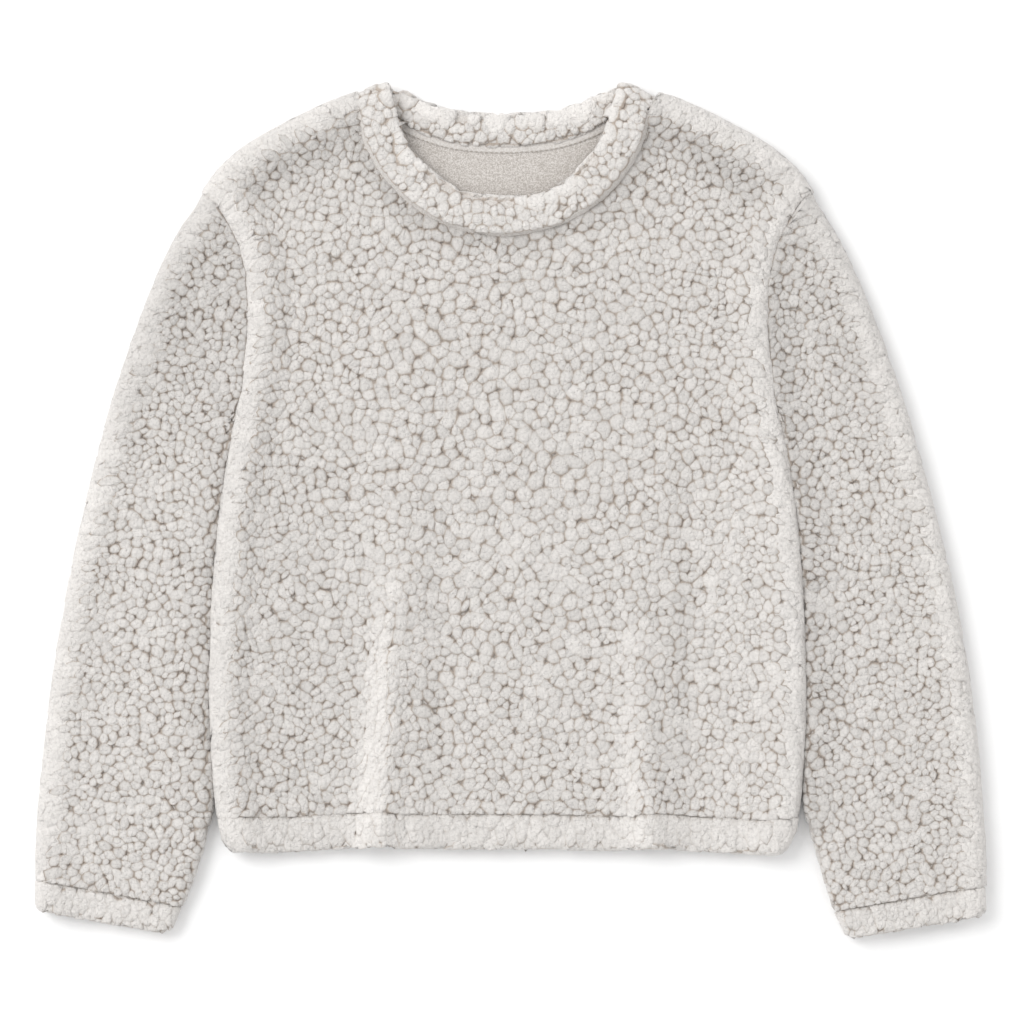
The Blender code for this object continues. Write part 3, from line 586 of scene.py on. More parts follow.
def growPile(name, base, look, material, seed):
    # one domed tuft for each seed, filling its own cell and pressed against its neighbours
    rng = np.random.default_rng(seed)
    seeds, normals, size = throwSeeds(base, look, rng)
    count = len(seeds)
    sides = look["sides"]
    combWay, combStretch = look["comb"](seeds, normals)
    runTogether = 0.75 * matted(seeds) + 0.30 * rng.random(count) ** 2
    softness = np.maximum(look["softness"](seeds, normals), look["matted"](seeds) * runTogether)
    randomWay = flowWay(seeds) + 0.45 * rng.normal(size=(count, 3))
    combed = np.linalg.norm(combWay, axis=1) > 0.5
    first = np.where(combed[:, None], combWay, randomWay)
    first -= normals * np.sum(first * normals, axis=1, keepdims=True)
    first /= np.maximum(np.linalg.norm(first, axis=1, keepdims=True), 1e-9)
    second = np.cross(normals, first)
    stretch = np.where(combed, combStretch, 1.0 + tuft["loose"] * rng.random(count))

    tree = KDTree(count)
    for index, point in enumerate(seeds.tolist()):
        tree.insert(point, index)
    tree.balance()
    near = np.array([[found[1] for found in tree.find_n(point, look["neighbours"] + 1)][1:]
                     for point in seeds.tolist()])
    ways = seeds[near] - seeds[:, None]
    label = look["label"](seeds)
    facing = np.einsum("nd,nkd->nk", normals, normals[near]) > 0.1
    facing &= label[near] == label[:, None]
    across = np.einsum("nkd,nd->nk", ways, first)
    along = np.einsum("nkd,nd->nk", ways, second)
    lift = np.einsum("nkd,nd->nk", ways, normals)
    flatLength = np.maximum(np.hypot(across, along), 1e-9)
    trueLength = np.sqrt(flatLength ** 2 + lift ** 2)
    across *= trueLength / flatLength / stretch[:, None]
    along *= trueLength / flatLength
    squared = across ** 2 + along ** 2
    weight = ((size[:, None] / 2) ** 2 - (size[near] / 2) ** 2) * tuft["push"]
    fineAngles = 2 * math.pi * (np.arange(2 * sides)[None] / 2 + rng.random((count, 1))) / sides
    cosines, sines = np.cos(fineAngles)[:, :, None], np.sin(fineAngles)[:, :, None]
    towards = across[:, None] * cosines + along[:, None] * sines
    limit = (squared + weight)[:, None] / 2 / np.maximum(towards, 1e-9)
    limit = np.where((towards > 1e-6) & facing[:, None], limit, 1e9)
    fine = np.clip(limit.min(axis=2), tuft["shortest"] * size[:, None], look["longest"] * size[:, None])
    reach = np.maximum(fine, tuft["evened"] * np.maximum(np.roll(fine, 1, 1), np.roll(fine, -1, 1)))[:, ::2]
    reach = np.minimum(reach, np.minimum(np.roll(reach, 1, 1), np.roll(reach, -1, 1)) * tuft["spike"])
    angles = fineAngles[:, ::2]
    aim = np.stack([np.cos(angles), np.sin(angles)], axis=2)
    turn = rng.random((count, 3)) * 2 * math.pi
    # painted shade laid on each tuft, a painted highlight where it is below zero; the tufts also spread a
    # little less where it is high
    paintedShade = look["paintedShade"](seeds, normals)
    spread = look["spread"] + tuft["softSpread"] * softness - tuft["spreadInShade"] * paintedShade
    wave = 1 + 0.06 * np.cos(2 * angles + turn[:, :1]) + 0.05 * np.cos(3 * angles + turn[:, 1:2])
    reach *= spread[:, None] * wave
    offset = first[:, None] * (aim[:, :, :1] * (reach * stretch[:, None])[:, :, None])
    offset += second[:, None] * (aim[:, :, 1:] * reach[:, :, None])
    barrier = look["barrier"](seeds, offset)
    offset *= barrier[:, :, None]

    surface = base[3]
    edge = np.zeros((count, sides, 3))
    edgeNormal = np.zeros((count, sides, 3))
    wantedReach = np.linalg.norm(offset, axis=2)
    for attempt in (1, 2):
        for index in range(count):
            for side, target in enumerate((seeds[index] + offset[index]).tolist()):
                spot, faceNormal, _, _ = surface.find_nearest(target)
                edge[index, side] = spot
                edgeNormal[index, side] = faceNormal
        astray = np.sum(edgeNormal * normals[:, None], axis=2) < -0.1
        missed = np.linalg.norm(seeds[:, None] + offset - edge, axis=2)
        astray |= missed > look["missLimit"] * np.linalg.norm(offset, axis=2)
        if attempt == 1:
            gained = np.linalg.norm(edge - seeds[:, None], axis=2)
            offset *= np.clip(wantedReach / np.maximum(gained, 1e-6), 1, look["curved"])[:, :, None]
            offset[astray] *= 0.4
    edge[astray] = (seeds[:, None] + 0.15 * offset)[astray]
    edgeNormal[astray] = np.broadcast_to(normals[:, None], edge.shape)[astray]
    beyond = seeds[:, None] + offset - edge
    beyond -= edgeNormal * np.sum(beyond * edgeNormal, axis=2, keepdims=True)
    far = np.maximum(np.linalg.norm(beyond, axis=2, keepdims=True), 1e-9)
    edge += beyond * np.clip(look["overhang"] / far, 0, 1)
    edgeNormal[np.sum(edgeNormal * normals[:, None], axis=2) < 0] *= -1
    uneven = look["uneven"] * (1 - 0.7 * softness) * (rng.random(count) - 0.6)
    height = look["height"](seeds, normals) * (1 + uneven)
    lean = combWay * look["lean"] * combed[:, None] + rng.normal(size=(count, 3)) * look["stray"]
    lean -= normals * np.sum(lean * normals, axis=1, keepdims=True)
    tilt = rng.normal(size=(count, 2)) * look["tilt"]

    rings = []
    tones = []
    profile = look["profile"]
    for share, rise, softRise in profile:
        up = ((rise + (softRise - rise) * softness) * height)[:, None]
        direction = normals[:, None] * (1 - 0.5 * share) + edgeNormal * (0.5 * share)
        direction /= np.maximum(np.linalg.norm(direction, axis=2, keepdims=True), 1e-9)
        spot = seeds[:, None] + (edge - seeds[:, None]) * share
        slope = tilt[:, :1] * aim[:, :, 0] + tilt[:, 1:] * aim[:, :, 1]
        wobble = 1 + 0.045 * rng.normal(size=(count, sides)) + slope * share * (1 - 0.6 * softness[:, None])
        raised = up * wobble
        rings.append(spot + direction * raised[:, :, None] + lean[:, None] * up[:, :, None])
        # the colour ramp paints shade down each tuft's sides, darkest in the crevices; the pale floors
        # lighten it on steep sides, beside stitches and on soft tufts
        sideways = 1 - smoothFade((np.abs(direction[:, :, 2]) - 0.40) / 0.35)
        pale = np.maximum(tuft["sideTone"] * sideways, tuft["stitchTone"] * (barrier < 0.999))
        pale = np.maximum(pale, tuft["softTone"] * np.minimum(1, 1.5 * softness)[:, None])
        tones.append(np.maximum(up / height[:, None], pale))
    tip = seeds + normals * height[:, None] + lean * height[:, None]
    vertices = np.concatenate([np.concatenate(rings, axis=1), tip[:, None]], axis=1)
    perTuft = sides * len(profile) + 1
    vertices[:, :, 2] = np.maximum(vertices[:, :, 2], look["floor"])
    depth = np.concatenate([np.concatenate(tones, axis=1), np.ones((count, 1))], axis=1)
    # R: height share for the painted crevice shade, G: random tone, B: softness, which also sets a painted
    # highlight, A: painted shade
    perSeed = [np.repeat(item[:, None], perTuft, 1) for item in (rng.random(count), softness, paintedShade)]
    values = np.stack([depth] + perSeed, axis=2)

    faces = []
    for ring in range(len(profile) - 1):
        for side in range(sides):
            ahead = (side + 1) % sides
            low, high = ring * sides, (ring + 1) * sides
            faces.append((low + side, low + ahead, high + ahead, high + side))
    last = (len(profile) - 1) * sides
    capFaces = [(last + side, last + (side + 1) % sides, perTuft - 1) for side in range(sides)]
    made = []
    for ending, chosen in look["parts"](seeds):
        many = int(chosen.sum())
        quads = (np.arange(many)[:, None, None] * perTuft + np.array(faces)[None]).reshape(-1, 4)
        caps = (np.arange(many)[:, None, None] * perTuft + np.array(capFaces)[None]).reshape(-1, 3)
        mesh = bpy.data.meshes.new(name + ending)
        mesh.vertices.add(many * perTuft)
        mesh.vertices.foreach_set("co", vertices[chosen].ravel())
        loops = np.concatenate([quads.ravel(), caps.ravel()])
        mesh.loops.add(len(loops))
        mesh.loops.foreach_set("vertex_index", loops)
        starts = np.concatenate([np.arange(len(quads)) * 4, len(quads) * 4 + np.arange(len(caps)) * 3])
        mesh.polygons.add(len(starts))
        mesh.polygons.foreach_set("loop_start", starts)
        mesh.update(calc_edges=True)
        mesh.shade_smooth()
        tone = mesh.color_attributes.new("pileToneAndShade", "FLOAT_COLOR", "POINT")
        tone.data.foreach_set("color", values[chosen].astype(np.float32).ravel())
        mesh.materials.append(material)
        made.append(meshObject(name + ending, mesh))
        print(name + ending, many, "tufts,", len(quads) * 2 + len(caps), "triangles")
    return made


def newMaterial(name, values):
    material = bpy.data.materials.new(name)
    material.use_nodes = True
    surface = material.node_tree.nodes["Principled BSDF"]
    for socket, value in values.items():
        surface.inputs[socket].default_value = value
    return material, surface


def addNode(material, kind, fixed, linked, operation=None):
    # a node with its own constants, fed from the sockets given
    node = material.node_tree.nodes.new("ShaderNode" + kind)
    if operation:
        node.operation = operation
    for socket, value in fixed.items():
        node.inputs[socket].default_value = value
    for socket, source in linked.items():
        material.node_tree.links.new(source, node.inputs[socket])
    return node


def addSum(material, source, factor, added):
    # source times a factor, plus a number or another socket
    fixed, linked = {1: factor}, {0: source}
    (fixed if isinstance(added, float) else linked)[2] = added
    return addNode(material, "Math", fixed, linked, "MULTIPLY_ADD").outputs["Value"]


def addNoise(material, scale, detail):
    place3 = addNode(material, "TexCoord", {}, {})
    return addNode(material, "TexNoise", {"Scale": scale, "Detail": detail},
                   {"Vector": place3.outputs["Object"]}).outputs["Fac"]


def addRamp(material, source, stops):
    ramp = addNode(material, "ValToRGB", {}, {"Fac": source})
    marks = ramp.color_ramp.elements
    marks[0].position, marks[0].color = stops[0][0], (*stops[0][1], 1)
    marks[1].position, marks[1].color = stops[-1][0], (*stops[-1][1], 1)
    for position, colour in stops[1:-1]:
        marks.new(position).color = (*colour, 1)
    return ramp.outputs["Color"]


def addBump(material, height, strength, distance, normal=None):
    bump = addNode(material, "Bump", {"Strength": strength, "Distance": distance}, {"Height": height})
    if normal:
        material.node_tree.links.new(normal, bump.inputs["Normal"])
    return bump


pileLook = {
    "creviceShade": (0.46, 0.396, 0.342), "body": (0.66, 0.630, 0.600), "tip": (0.72, 0.692, 0.665),
    "creviceShadeAt": 0.72, "bodyAt": 0.86, "tipAt": 0.97,
    "ownShade": 0.09, "softHighlight": 0.12, "leastShade": 0.87, "paintedShadeFactor": -0.14, "fleckShade": 0.20,
}


def pileMaterial():
    material, surface = newMaterial("curlyPile", {
        "Roughness": 0.92, "Specular IOR Level": 0.2, "Sheen Weight": 0.35, "Sheen Roughness": 0.5})
    links = material.node_tree.links
    tone = addNode(material, "Attribute", {}, {})
    tone.attribute_name = "pileToneAndShade"
    parts = addNode(material, "SeparateColor", {}, {"Color": tone.outputs["Color"]}).outputs
    # painted shade: dark brown low in the crevices between tufts, lighter up to the tips
    colour = addRamp(material, parts["Red"], [
        (pileLook["creviceShadeAt"], pileLook["creviceShade"]), (pileLook["bodyAt"], pileLook["body"]),
        (pileLook["tipAt"], pileLook["tip"])])
    # painted highlight on soft pile: along the rims, the cuffs and hem, the lit side of the folds and the
    # neckband's free edge; it also lightens the random matted patches
    shade = addSum(material, parts["Blue"], pileLook["softHighlight"], pileLook["leastShade"])
    shade = addSum(material, parts["Green"], pileLook["ownShade"], shade)
    # painted shade darkens the colour, and a negative amount lightens it as a painted highlight
    shade = addSum(material, tone.outputs["Alpha"], pileLook["paintedShadeFactor"], shade)
    shade = addSum(material, addNoise(material, 620, 3), pileLook["fleckShade"], shade)
    tint = addNode(material, "VectorMath", {}, {0: colour, "Scale": shade}, "SCALE")
    links.new(tint.outputs["Vector"], surface.inputs["Base Color"])
    place3 = addNode(material, "TexCoord", {}, {}).outputs["Object"]
    lumps = addNode(material, "TexVoronoi", {"Scale": 260}, {"Vector": place3})
    fineBump = addBump(material, addNoise(material, 900, 2), 0.8, 0.0020)
    lumpBump = addBump(material, lumps.outputs["Distance"], 0.6, 0.0026, fineBump.outputs["Normal"])
    lumpBump.invert = True
    links.new(lumpBump.outputs["Normal"], surface.inputs["Normal"])
    return material


def groundMaterial():
    # the short fuzz at the foot of the tufts
    material, surface = newMaterial("pileGround", {
        "Roughness": 0.95, "Specular IOR Level": 0.15, "Sheen Weight": 0.3})
    fuzz = addNoise(material, 700, 3)
    colour = addRamp(material, fuzz, [(0.35, (0.56, 0.525, 0.490)), (0.62, (0.71, 0.682, 0.655))])
    material.node_tree.links.new(colour, surface.inputs["Base Color"])
    bump = addBump(material, fuzz, 0.6, 0.0008)
    material.node_tree.links.new(bump.outputs["Normal"], surface.inputs["Normal"])
    return material


def clothMaterial(name, colour, dark):
    # brushed knit: the wrong side of the fleece
    material, surface = newMaterial(name, {
        "Roughness": 0.95, "Specular IOR Level": 0.15, "Sheen Weight": 0.2})
    zigzag, fuzz = addNoise(material, 780, 1), addNoise(material, 1300, 3)
    both = addNode(material, "Math", {}, {0: zigzag, 1: fuzz}, "ADD").outputs["Value"]
    spread = addNode(material, "MapRange", {"From Min": 0.80, "From Max": 1.20}, {"Value": both})
    ramp = addRamp(material, spread.outputs["Result"], [(0.0, dark), (1.0, colour)])
    material.node_tree.links.new(ramp, surface.inputs["Base Color"])
    bump = addBump(material, both, 0.5, 0.0006)
    material.node_tree.links.new(bump.outputs["Normal"], surface.inputs["Normal"])
    return material


def thickenCloth(piece, thickness):
    wall = piece.modifiers.new("backing", "SOLIDIFY")
    wall.thickness = thickness
    wall.offset = -1
    wall.material_offset = 1
    piece.data.materials.append(ground)
    piece.data.materials.append(innerCloth)


def noBarrier(seeds, offset):
    return np.ones(offset.shape[:2])


def oneLabel(seeds):
    return np.zeros(len(seeds), int)


def lineBarrier(lines):
    # shortens the tufts that would cross a stitch line
    def shorten(seeds, offset):
        share = np.ones(offset.shape[:2])
        for start, end in lines:
            span = (end - start) / np.linalg.norm(end - start)
            normal = np.array([-span[1], span[0]])
            gap = (seeds[:, :2] - start) @ normal
            beyond = (seeds[:, :2] - start) @ span
            rise = offset[:, :, :2] @ normal
            inLine = (beyond > -15 * mm) & (beyond < np.linalg.norm(end - start) + 15 * mm)
            crossing = (rise * gap[:, None] < 0) & inLine[:, None]
            room = np.maximum(np.abs(gap) - 0.06 * mm, 0.3 * mm)[:, None] / np.maximum(np.abs(rise), 1e-9)
            share = np.where(crossing, np.minimum(share, room), share)
        return share
    return shorten


def wholePiece(seeds):
    return [("", np.ones(len(seeds), bool))]


def twoHalves(seeds):
    left = seeds[:, 0] < garment["bodyCentre"]
    return [("_left", left), ("_right", ~left)]


def noPaintedShade(points, normals):
    return np.zeros(len(points))


pile = pileMaterial()
ground = groundMaterial()
innerCloth = clothMaterial("brushedKnit", (0.70, 0.665, 0.634), (0.42, 0.384, 0.350))
# rings of a tuft from its foot up: reach, height of a curled tuft, height of a soft one
tuftShape = [(1.0, -0.1, -0.1), (0.96, 0.46, 0.72), (0.80, 0.78, 0.93), (0.46, 0.97, 0.99)]
hiddenShape = [(1.0, 0.0, 0.0), (0.93, 0.72, 0.80), (0.55, 0.97, 1.0)]

frontPaths = bodyPaths(bandFrontTable, 2.2 * mm)
backPaths = bodyPaths(bandBackTable, 8.0 * mm)
stitchLine = smoothRows(place(garment["bodyCentre"], hemTable) + [0, garment["hemToStitch"]], 80)


frontTufts = {"plain": 7.6, "chest": 3.0, "rim": 1.8, "hem": 1.4}  # millimetres across, each added on


def frontSize(points, normals):
    # the largest tufts lie on the middle of the chest
    across = (points[:, 0] - garment["bodyCentre"]) / (170 * mm)
    up = (points[:, 1] - 60 * mm) / (250 * mm)
    middle = np.exp(-(across ** 2 + up ** 2))
    distance, _ = bodyRim(points, frontPaths)
    rim = nearTo(distance, 10 * mm, 12 * mm)
    return (frontTufts["plain"] + frontTufts["chest"] * middle + frontTufts["rim"] * rim
            + frontTufts["hem"] * belowStitches(points)) * mm


def bodyRim(points, paths):
    sewn = [nearestOnPath(points[:, :2], path) for path in paths["sewn"]]
    distance = np.min([s[0] for s in sewn], axis=0)
    pick = np.argmin([s[0] for s in sewn], axis=0)
    way = np.array([s[1] for s in sewn])[pick, np.arange(len(points))]
    away = way / np.maximum(distance, 1e-6)[:, None]
    return distance, np.column_stack([away, np.zeros(len(points))])


def belowStitches(points):
    return points[:, 1] < np.interp(points[:, 0], stitchLine[:, 0], stitchLine[:, 1])


def foldCrest(points):
    # 1 along the lit side of each fold, where the pile is combed smooth and a painted highlight is laid
    across, drop = acrossDrop(points)
    leftLine = np.interp(drop, [340, 480, 690], [-98, -107, -124])
    left = bellShape(across, leftLine, 17) * smoothFade((drop - 350) / 250)
    rightLine = np.interp(drop, [380, 690], [104, 110])
    right = bellShape(across, rightLine, 16) * smoothFade((drop - 420) / 260)
    return np.clip(left + 0.75 * right, 0, 1)


def frontKeep(points, normals):
    return neckStrip(points, normals) & (normals[:, 2] > -0.02)


def frontMatted(points):
    # the curls run together more towards the hem
    _, drop = acrossDrop(points)
    return 0.30 + 0.35 * smoothFade((drop - 260) / 180)


def frontComb(points, normals):
    distance, away = bodyRim(points, frontPaths)
    away[:, 1] -= 0.5
    away /= np.linalg.norm(away, axis=1, keepdims=True)
    below = belowStitches(points)
    away[below] = (0, -1, 0)
    crest = foldCrest(points) > 0.45
    away[crest & ~below] = (-0.45, -0.89, 0)
    combed = (distance < 20 * mm) | below | crest
    away[~combed] = 0
    return away, np.where(below, 1.8, 2.1)


def frontSoftness(points, normals):
    distance, _ = bodyRim(points, frontPaths)
    rim = nearTo(distance, 8 * mm, 16 * mm)
    return np.maximum(np.maximum(rim, 0.55 * foldCrest(points)), np.where(belowStitches(points), 0.52, 0))


def neckStrip(points, normals):
    # no tufts on the flat strip of the neckband seam
    half = np.abs(points[:, 0] - garment["neckCentre"])
    return (gapTo(points, frontPaths["neck"]) > 2.6 * mm) | (half > 130 * mm)


def stitchBarrier(seeds, offset):
    # the sunken stitch line parts the tufts along the hem
    line = np.interp(seeds[:, 0], stitchLine[:, 0], stitchLine[:, 1])
    gap = seeds[:, 1] - line
    rise = offset[:, :, 1]
    over = 1.1 * mm * np.maximum(np.sin(190 * seeds[:, 0] + 2.5 * np.sin(61 * seeds[:, 0])), 0)
    room = np.maximum(np.abs(gap) - 0.06 * mm + over, 0.3 * mm)[:, None] / np.maximum(np.abs(rise), 1e-9)
    return np.where(rise * gap[:, None] < 0, np.minimum(room, 1), 1)


def pileHeightFront(points, normals):
    hem = np.interp(points[:, 0], frontPaths["hem"][:, 0], frontPaths["hem"][:, 1])
    nearHem = nearTo(points[:, 1] - hem, 4 * mm, 9 * mm)
    return garment["pileHeight"] - 0.7 * mm * nearHem


def frontPaintedShade(points, normals):
    # painted shade beside the neckband, below the shoulder seams, on the lower left flank and in the
    # troughs beside the folds; painted highlight on the lit side of the folds and on the lower right flank
    neck = gapTo(points, frontPaths["neck"])
    crescent = nearTo(neck, 4 * mm, 24 * mm)
    shoulder = np.min([gapTo(points, path) for path in frontPaths["sewn"][2:]], axis=0)
    armhole = np.min([gapTo(points, path) for path in frontPaths["sewn"][:2]], axis=0)
    valley = bellShape(shoulder, 36 * mm, 17 * mm) * smoothFade((armhole - 14 * mm) / (30 * mm))
    across, drop = acrossDrop(points)
    low = smoothFade((drop - 240) / 160)
    sides = 0.35 * bellShape(across, -185, 45) * low
    troughs = 0.45 * (bellShape(across, -66, 13) + bellShape(across, 152, 14)) * low
    lit = foldCrest(points) + 0.35 * bellShape(across, 195, 40) * low
    return np.clip(np.maximum(crescent, valley) + sides + troughs - lit, -0.8, 1)


def edgeSink(points, height):
    # beside a seam the cloth lies nearer the outside and its pile closes the seam
    distance, _ = bodyRim(points, frontPaths)
    return height - 1.9 * mm * nearTo(distance, 3 * mm, 9 * mm)


frontLook = {
    "sides": 10, "neighbours": 14, "finest": 8.0 * mm, "coarsest": 17 * mm, "packing": 0.395,
    "spread": 1.20, "lean": 0.40, "stray": 0.10, "tilt": 0.10, "uneven": 0.30, "floor": -1.0,
    "profile": tuftShape,
    "size": frontSize, "keep": frontKeep, "comb": frontComb, "softness": frontSoftness,
    "barrier": stitchBarrier, "height": pileHeightFront, "parts": twoHalves, "paintedShade": frontPaintedShade,
    "label": lambda seeds: belowStitches(seeds).astype(int), "curved": 1.2, "overhang": 1.6 * mm,
    "longest": 0.72, "missLimit": 9.0, "matted": frontMatted,
}


def sinkGrid(grid, normals, depth, lowest=2.2 * mm):
    # the cloth below the pile, kept clear of the floor
    sunk = grid - normals * depth[:, :, None]
    sunk[:, :, 2] = np.maximum(sunk[:, :, 2], lowest)
    return sunk


def calmTop(normals, rows):
    # evens out the normals beside the shoulder and neck corners
    calm = normals.copy()
    for _ in range(6):
        top = calm[:rows]
        top[:, 1:-1] = (top[:, :-2] + 2 * top[:, 1:-1] + top[:, 2:]) / 4
        top /= np.maximum(np.linalg.norm(top, axis=2, keepdims=True), 1e-9)
    return calm


def neckCorner(points, paths):
    # shallow sinking at the two ends of the neckline
    ends = paths["neck"][[0, -1]]
    gap = np.min([np.linalg.norm(points[:, :2] - end, axis=1) for end in ends], axis=0)
    return np.clip(gap / (20 * mm), 0.2, 1)


frontGrid, _ = panelSurface(frontPaths, frontLevels, 6 * mm)
frontNormals = gridNormals(frontGrid)
frontSpots = frontGrid.reshape(-1, 3)
frontNormals = calmTop(frontNormals, 7)
frontDepth = edgeSink(frontSpots, pileHeightFront(frontSpots, None)) * neckCorner(frontSpots, frontPaths)
frontDepth = frontDepth.reshape(frontGrid.shape[:2])
neckGap = nearestOnPath(frontSpots[:, :2], frontPaths["neck"])[0]
straightDown = nearTo(neckGap, 3 * mm, 9 * mm).reshape(frontGrid.shape[:2])[:, :, None]
sinkWay = frontNormals * (1 - straightDown) + np.array([0, 0, 1]) * straightDown
sinkWay /= np.linalg.norm(sinkWay, axis=2, keepdims=True)
frontCloth = gridObject("front_cloth", sinkGrid(frontGrid, sinkWay, frontDepth), frontNormals)
frontBase = baseData(frontCloth)
frontTree = frontBase[3]
frontPile = growPile("front_pile", frontBase, frontLook, pile, 11)
thickenCloth(frontCloth, garment["backing"])
print("front done")

def backHeight(points, normals):
    hem = np.interp(points[:, 0], backPaths["hem"][:, 0], backPaths["hem"][:, 1])
    return (6.0 - 3.2 * nearTo(points[:, 1] - hem, 5 * mm, 12 * mm)) * mm


backLook = dict(frontLook)
backLook.update({
    "size": lambda points, normals: np.full(len(points), 10.5 * mm), "comb": frontComb, "label": oneLabel,
    "keep": lambda points, normals: normals[:, 2] < 0.02,
    "height": backHeight, "barrier": noBarrier,
    "floor": 0.0003, "sides": 8, "profile": hiddenShape, "parts": wholePiece,
    "paintedShade": noPaintedShade,
})
backGrid, backRows = panelSurface(backPaths, backLevels, 6 * mm)
backNormals = gridNormals(backGrid, flip=True)
backDepth = np.full(backGrid.shape[:2], 6.0 * mm)
backDepth[backRows - 3:] = 3.0 * mm
backNormals = calmTop(backNormals, 7)
backDepth *= neckCorner(backGrid.reshape(-1, 3), backPaths).reshape(backGrid.shape[:2])
backSunk = sinkGrid(backGrid, backNormals, backDepth, 3.2 * mm)
backCloth = gridObject("back_cloth", backSunk, backNormals)
backBase = baseData(backCloth)
backTree = backBase[3]
backPile = growPile("back_pile", backBase, backLook, pile, 12)
thickenCloth(backCloth, 2.6 * mm)
print("back done")

sleevePieces = {}
sleeveLines = {}
sleeveTufts = {
    "plain": 7.5, "rim": 1.8, "underneath": 3.4,        # millimetres across
    "shadeReach": {"left": 30 * mm, "right": 40 * mm},  # beside the body
    "shadeBeside": {"left": 0.75, "right": 1.0},
    "shadeTop": {"left": 0.85, "right": 0.5},
    "matted": 0.55,
}


def sleeveLook(side, outward):
    # tufts for one sleeve: smooth combed locks along the outer fold and the cuff, pebbles between
    sign = -1 if side == "left" else 1
    table = np.array(sleeveTables[side], float)
    outerPath = smoothRows(place(garment["bodyCentre"], table[:, :2], sign), 60)
    cuffStart = place(garment["bodyCentre"], table[-1:, :2], sign)[0]
    cuffEnd = place(garment["bodyCentre"], table[-1:, 2:], sign)[0]
    lineStart = cuffStart - outward * garment["hemToStitch"]
    lineEnd = cuffEnd - outward * garment["hemToStitch"]
    barrier = lineBarrier([(lineStart, lineEnd)])

    def pastStitches(points):
        return (points[:, :2] - lineStart) @ outward > 0

    def size(points, normals):
        distance, _ = nearestOnPath(points[:, :2], outerPath)
        rim = nearTo(distance, 12 * mm, 12 * mm)
        hidden = normals[:, 2] < -0.2
        return (sleeveTufts["plain"] + sleeveTufts["rim"] * rim + sleeveTufts["underneath"] * hidden) * mm

    def comb(points, normals):
        distance, way = nearestOnPath(points[:, :2], outerPath)
        away = np.column_stack([way / np.maximum(distance, 1e-6)[:, None], np.zeros(len(points))])
        away[:, 1] -= 0.4
        away /= np.linalg.norm(away, axis=1, keepdims=True)
        past = pastStitches(points)
        away[past] = (outward[0], outward[1], 0)
        away[(distance > 22 * mm) & ~past] = 0
        return away, np.where(past, 1.7, 2.1)

    def softness(points, normals):
        distance, _ = nearestOnPath(points[:, :2], outerPath)
        rim = nearTo(distance, 10 * mm, 16 * mm)
        return np.maximum(rim, np.where(pastStitches(points), 0.5, 0))

    def height(points, normals):
        toCuff = -((points[:, :2] - cuffStart) @ outward)
        return garment["pileHeight"] - 0.8 * mm * nearTo(toCuff, 4 * mm, 9 * mm)

    bodyEdge = np.vstack([place(garment["bodyCentre"], armholeTable, sign),
                          place(garment["bodyCentre"], table[1:-3, 2:], sign)])

    def paintedShade(points, normals):
        # painted shade where the body lying beside it would shade it, more on the right, away from the
        # light, and at the top of the sleeve
        distance, _ = nearestOnPath(points[:, :2], bodyEdge)
        reach = sleeveTufts["shadeReach"][side]
        beside = sleeveTufts["shadeBeside"][side] * nearTo(distance, 4 * mm, reach)
        _, drop = acrossDrop(points)
        top = sleeveTufts["shadeTop"][side] * nearTo(drop, 200, 170)
        return np.maximum(beside, top)

    def keep(points, normals):
        # none on the part turned in at the cuff
        upper = points[:, 2] > sleeve["thickness"] / 2
        turnedIn = np.where(upper, normals[:, 2] < 0.02, normals[:, 2] > -0.02)
        return ~(pastStitches(points) & turnedIn)

    def sink(points):
        distance, _ = nearestOnPath(points[:, :2], bodyEdge)
        return height(points, None) - 1.8 * mm * nearTo(distance, 3 * mm, 8 * mm)

    look = dict(frontLook)
    look.update({"size": size, "comb": comb, "softness": softness, "height": height, "barrier": barrier,
                 "keep": keep, "label": lambda points: pastStitches(points).astype(int),
                 "floor": 0.0003, "sides": 9, "parts": wholePiece, "paintedShade": paintedShade, "sink": sink,
                 "uneven": 0.22, "spread": 1.20, "matted": lambda points: sleeveTufts["matted"],
                 "stitchLine": [lineStart, lineEnd]})
    return look


for side in ("left", "right"):
    grid, flatRows, outward = sleeveSurface(side)
    normals = gridNormals(grid, closedColumns=True)
    if normals[flatRows // 2, grid.shape[1] // 4, 2] < 0:
        normals = -normals
    look = sleeveLook(side, outward)
    depth = look["sink"](grid.reshape(-1, 3)).reshape(grid.shape[:2])
    clothPiece = gridObject("sleeve_" + side + "_cloth", sinkGrid(grid, normals, depth), normals,
                            closedColumns=True)
    sleeveBase = baseData(clothPiece)
    sleeveLines[side] = (look["stitchLine"], sleeveBase[3])
    pilePiece = growPile("sleeve_" + side + "_pile", sleeveBase, look, pile, 20 + len(side))
    thickenCloth(clothPiece, garment["backing"])
    sleevePieces[side] = (clothPiece, pilePiece)
print("sleeves done")

bandGrid = bandSurface()
bandNormals = gridNormals(bandGrid, closedColumns=True, closedRows=True)
if bandNormals[0, band["sectionPoints"] // 4, 2] < 0:
    bandNormals = -bandNormals
bandTurn = 2 * math.pi * (np.arange(band["sectionPoints"]) + 0.5) / band["sectionPoints"]
bandDepth = (3.1 - 1.9 * smoothFade((-np.cos(bandTurn) - 0.4) / 0.5)) * mm * np.ones((len(bandGrid), 1))
bandCloth = gridObject("neckband_cloth", sinkGrid(bandGrid, bandNormals, bandDepth), bandNormals,
                       closedColumns=True, closedRows=True)


def freeEdge(table):
    half = np.array([(row[2], row[3]) for row in table], float)
    if half[0][0] > 1:
        half = half[::-1]
    neck = garment["neckCentre"]
    return smoothRows(np.vstack([place(neck, half, -1)[::-1], place(neck, half)[1:]]), 90)


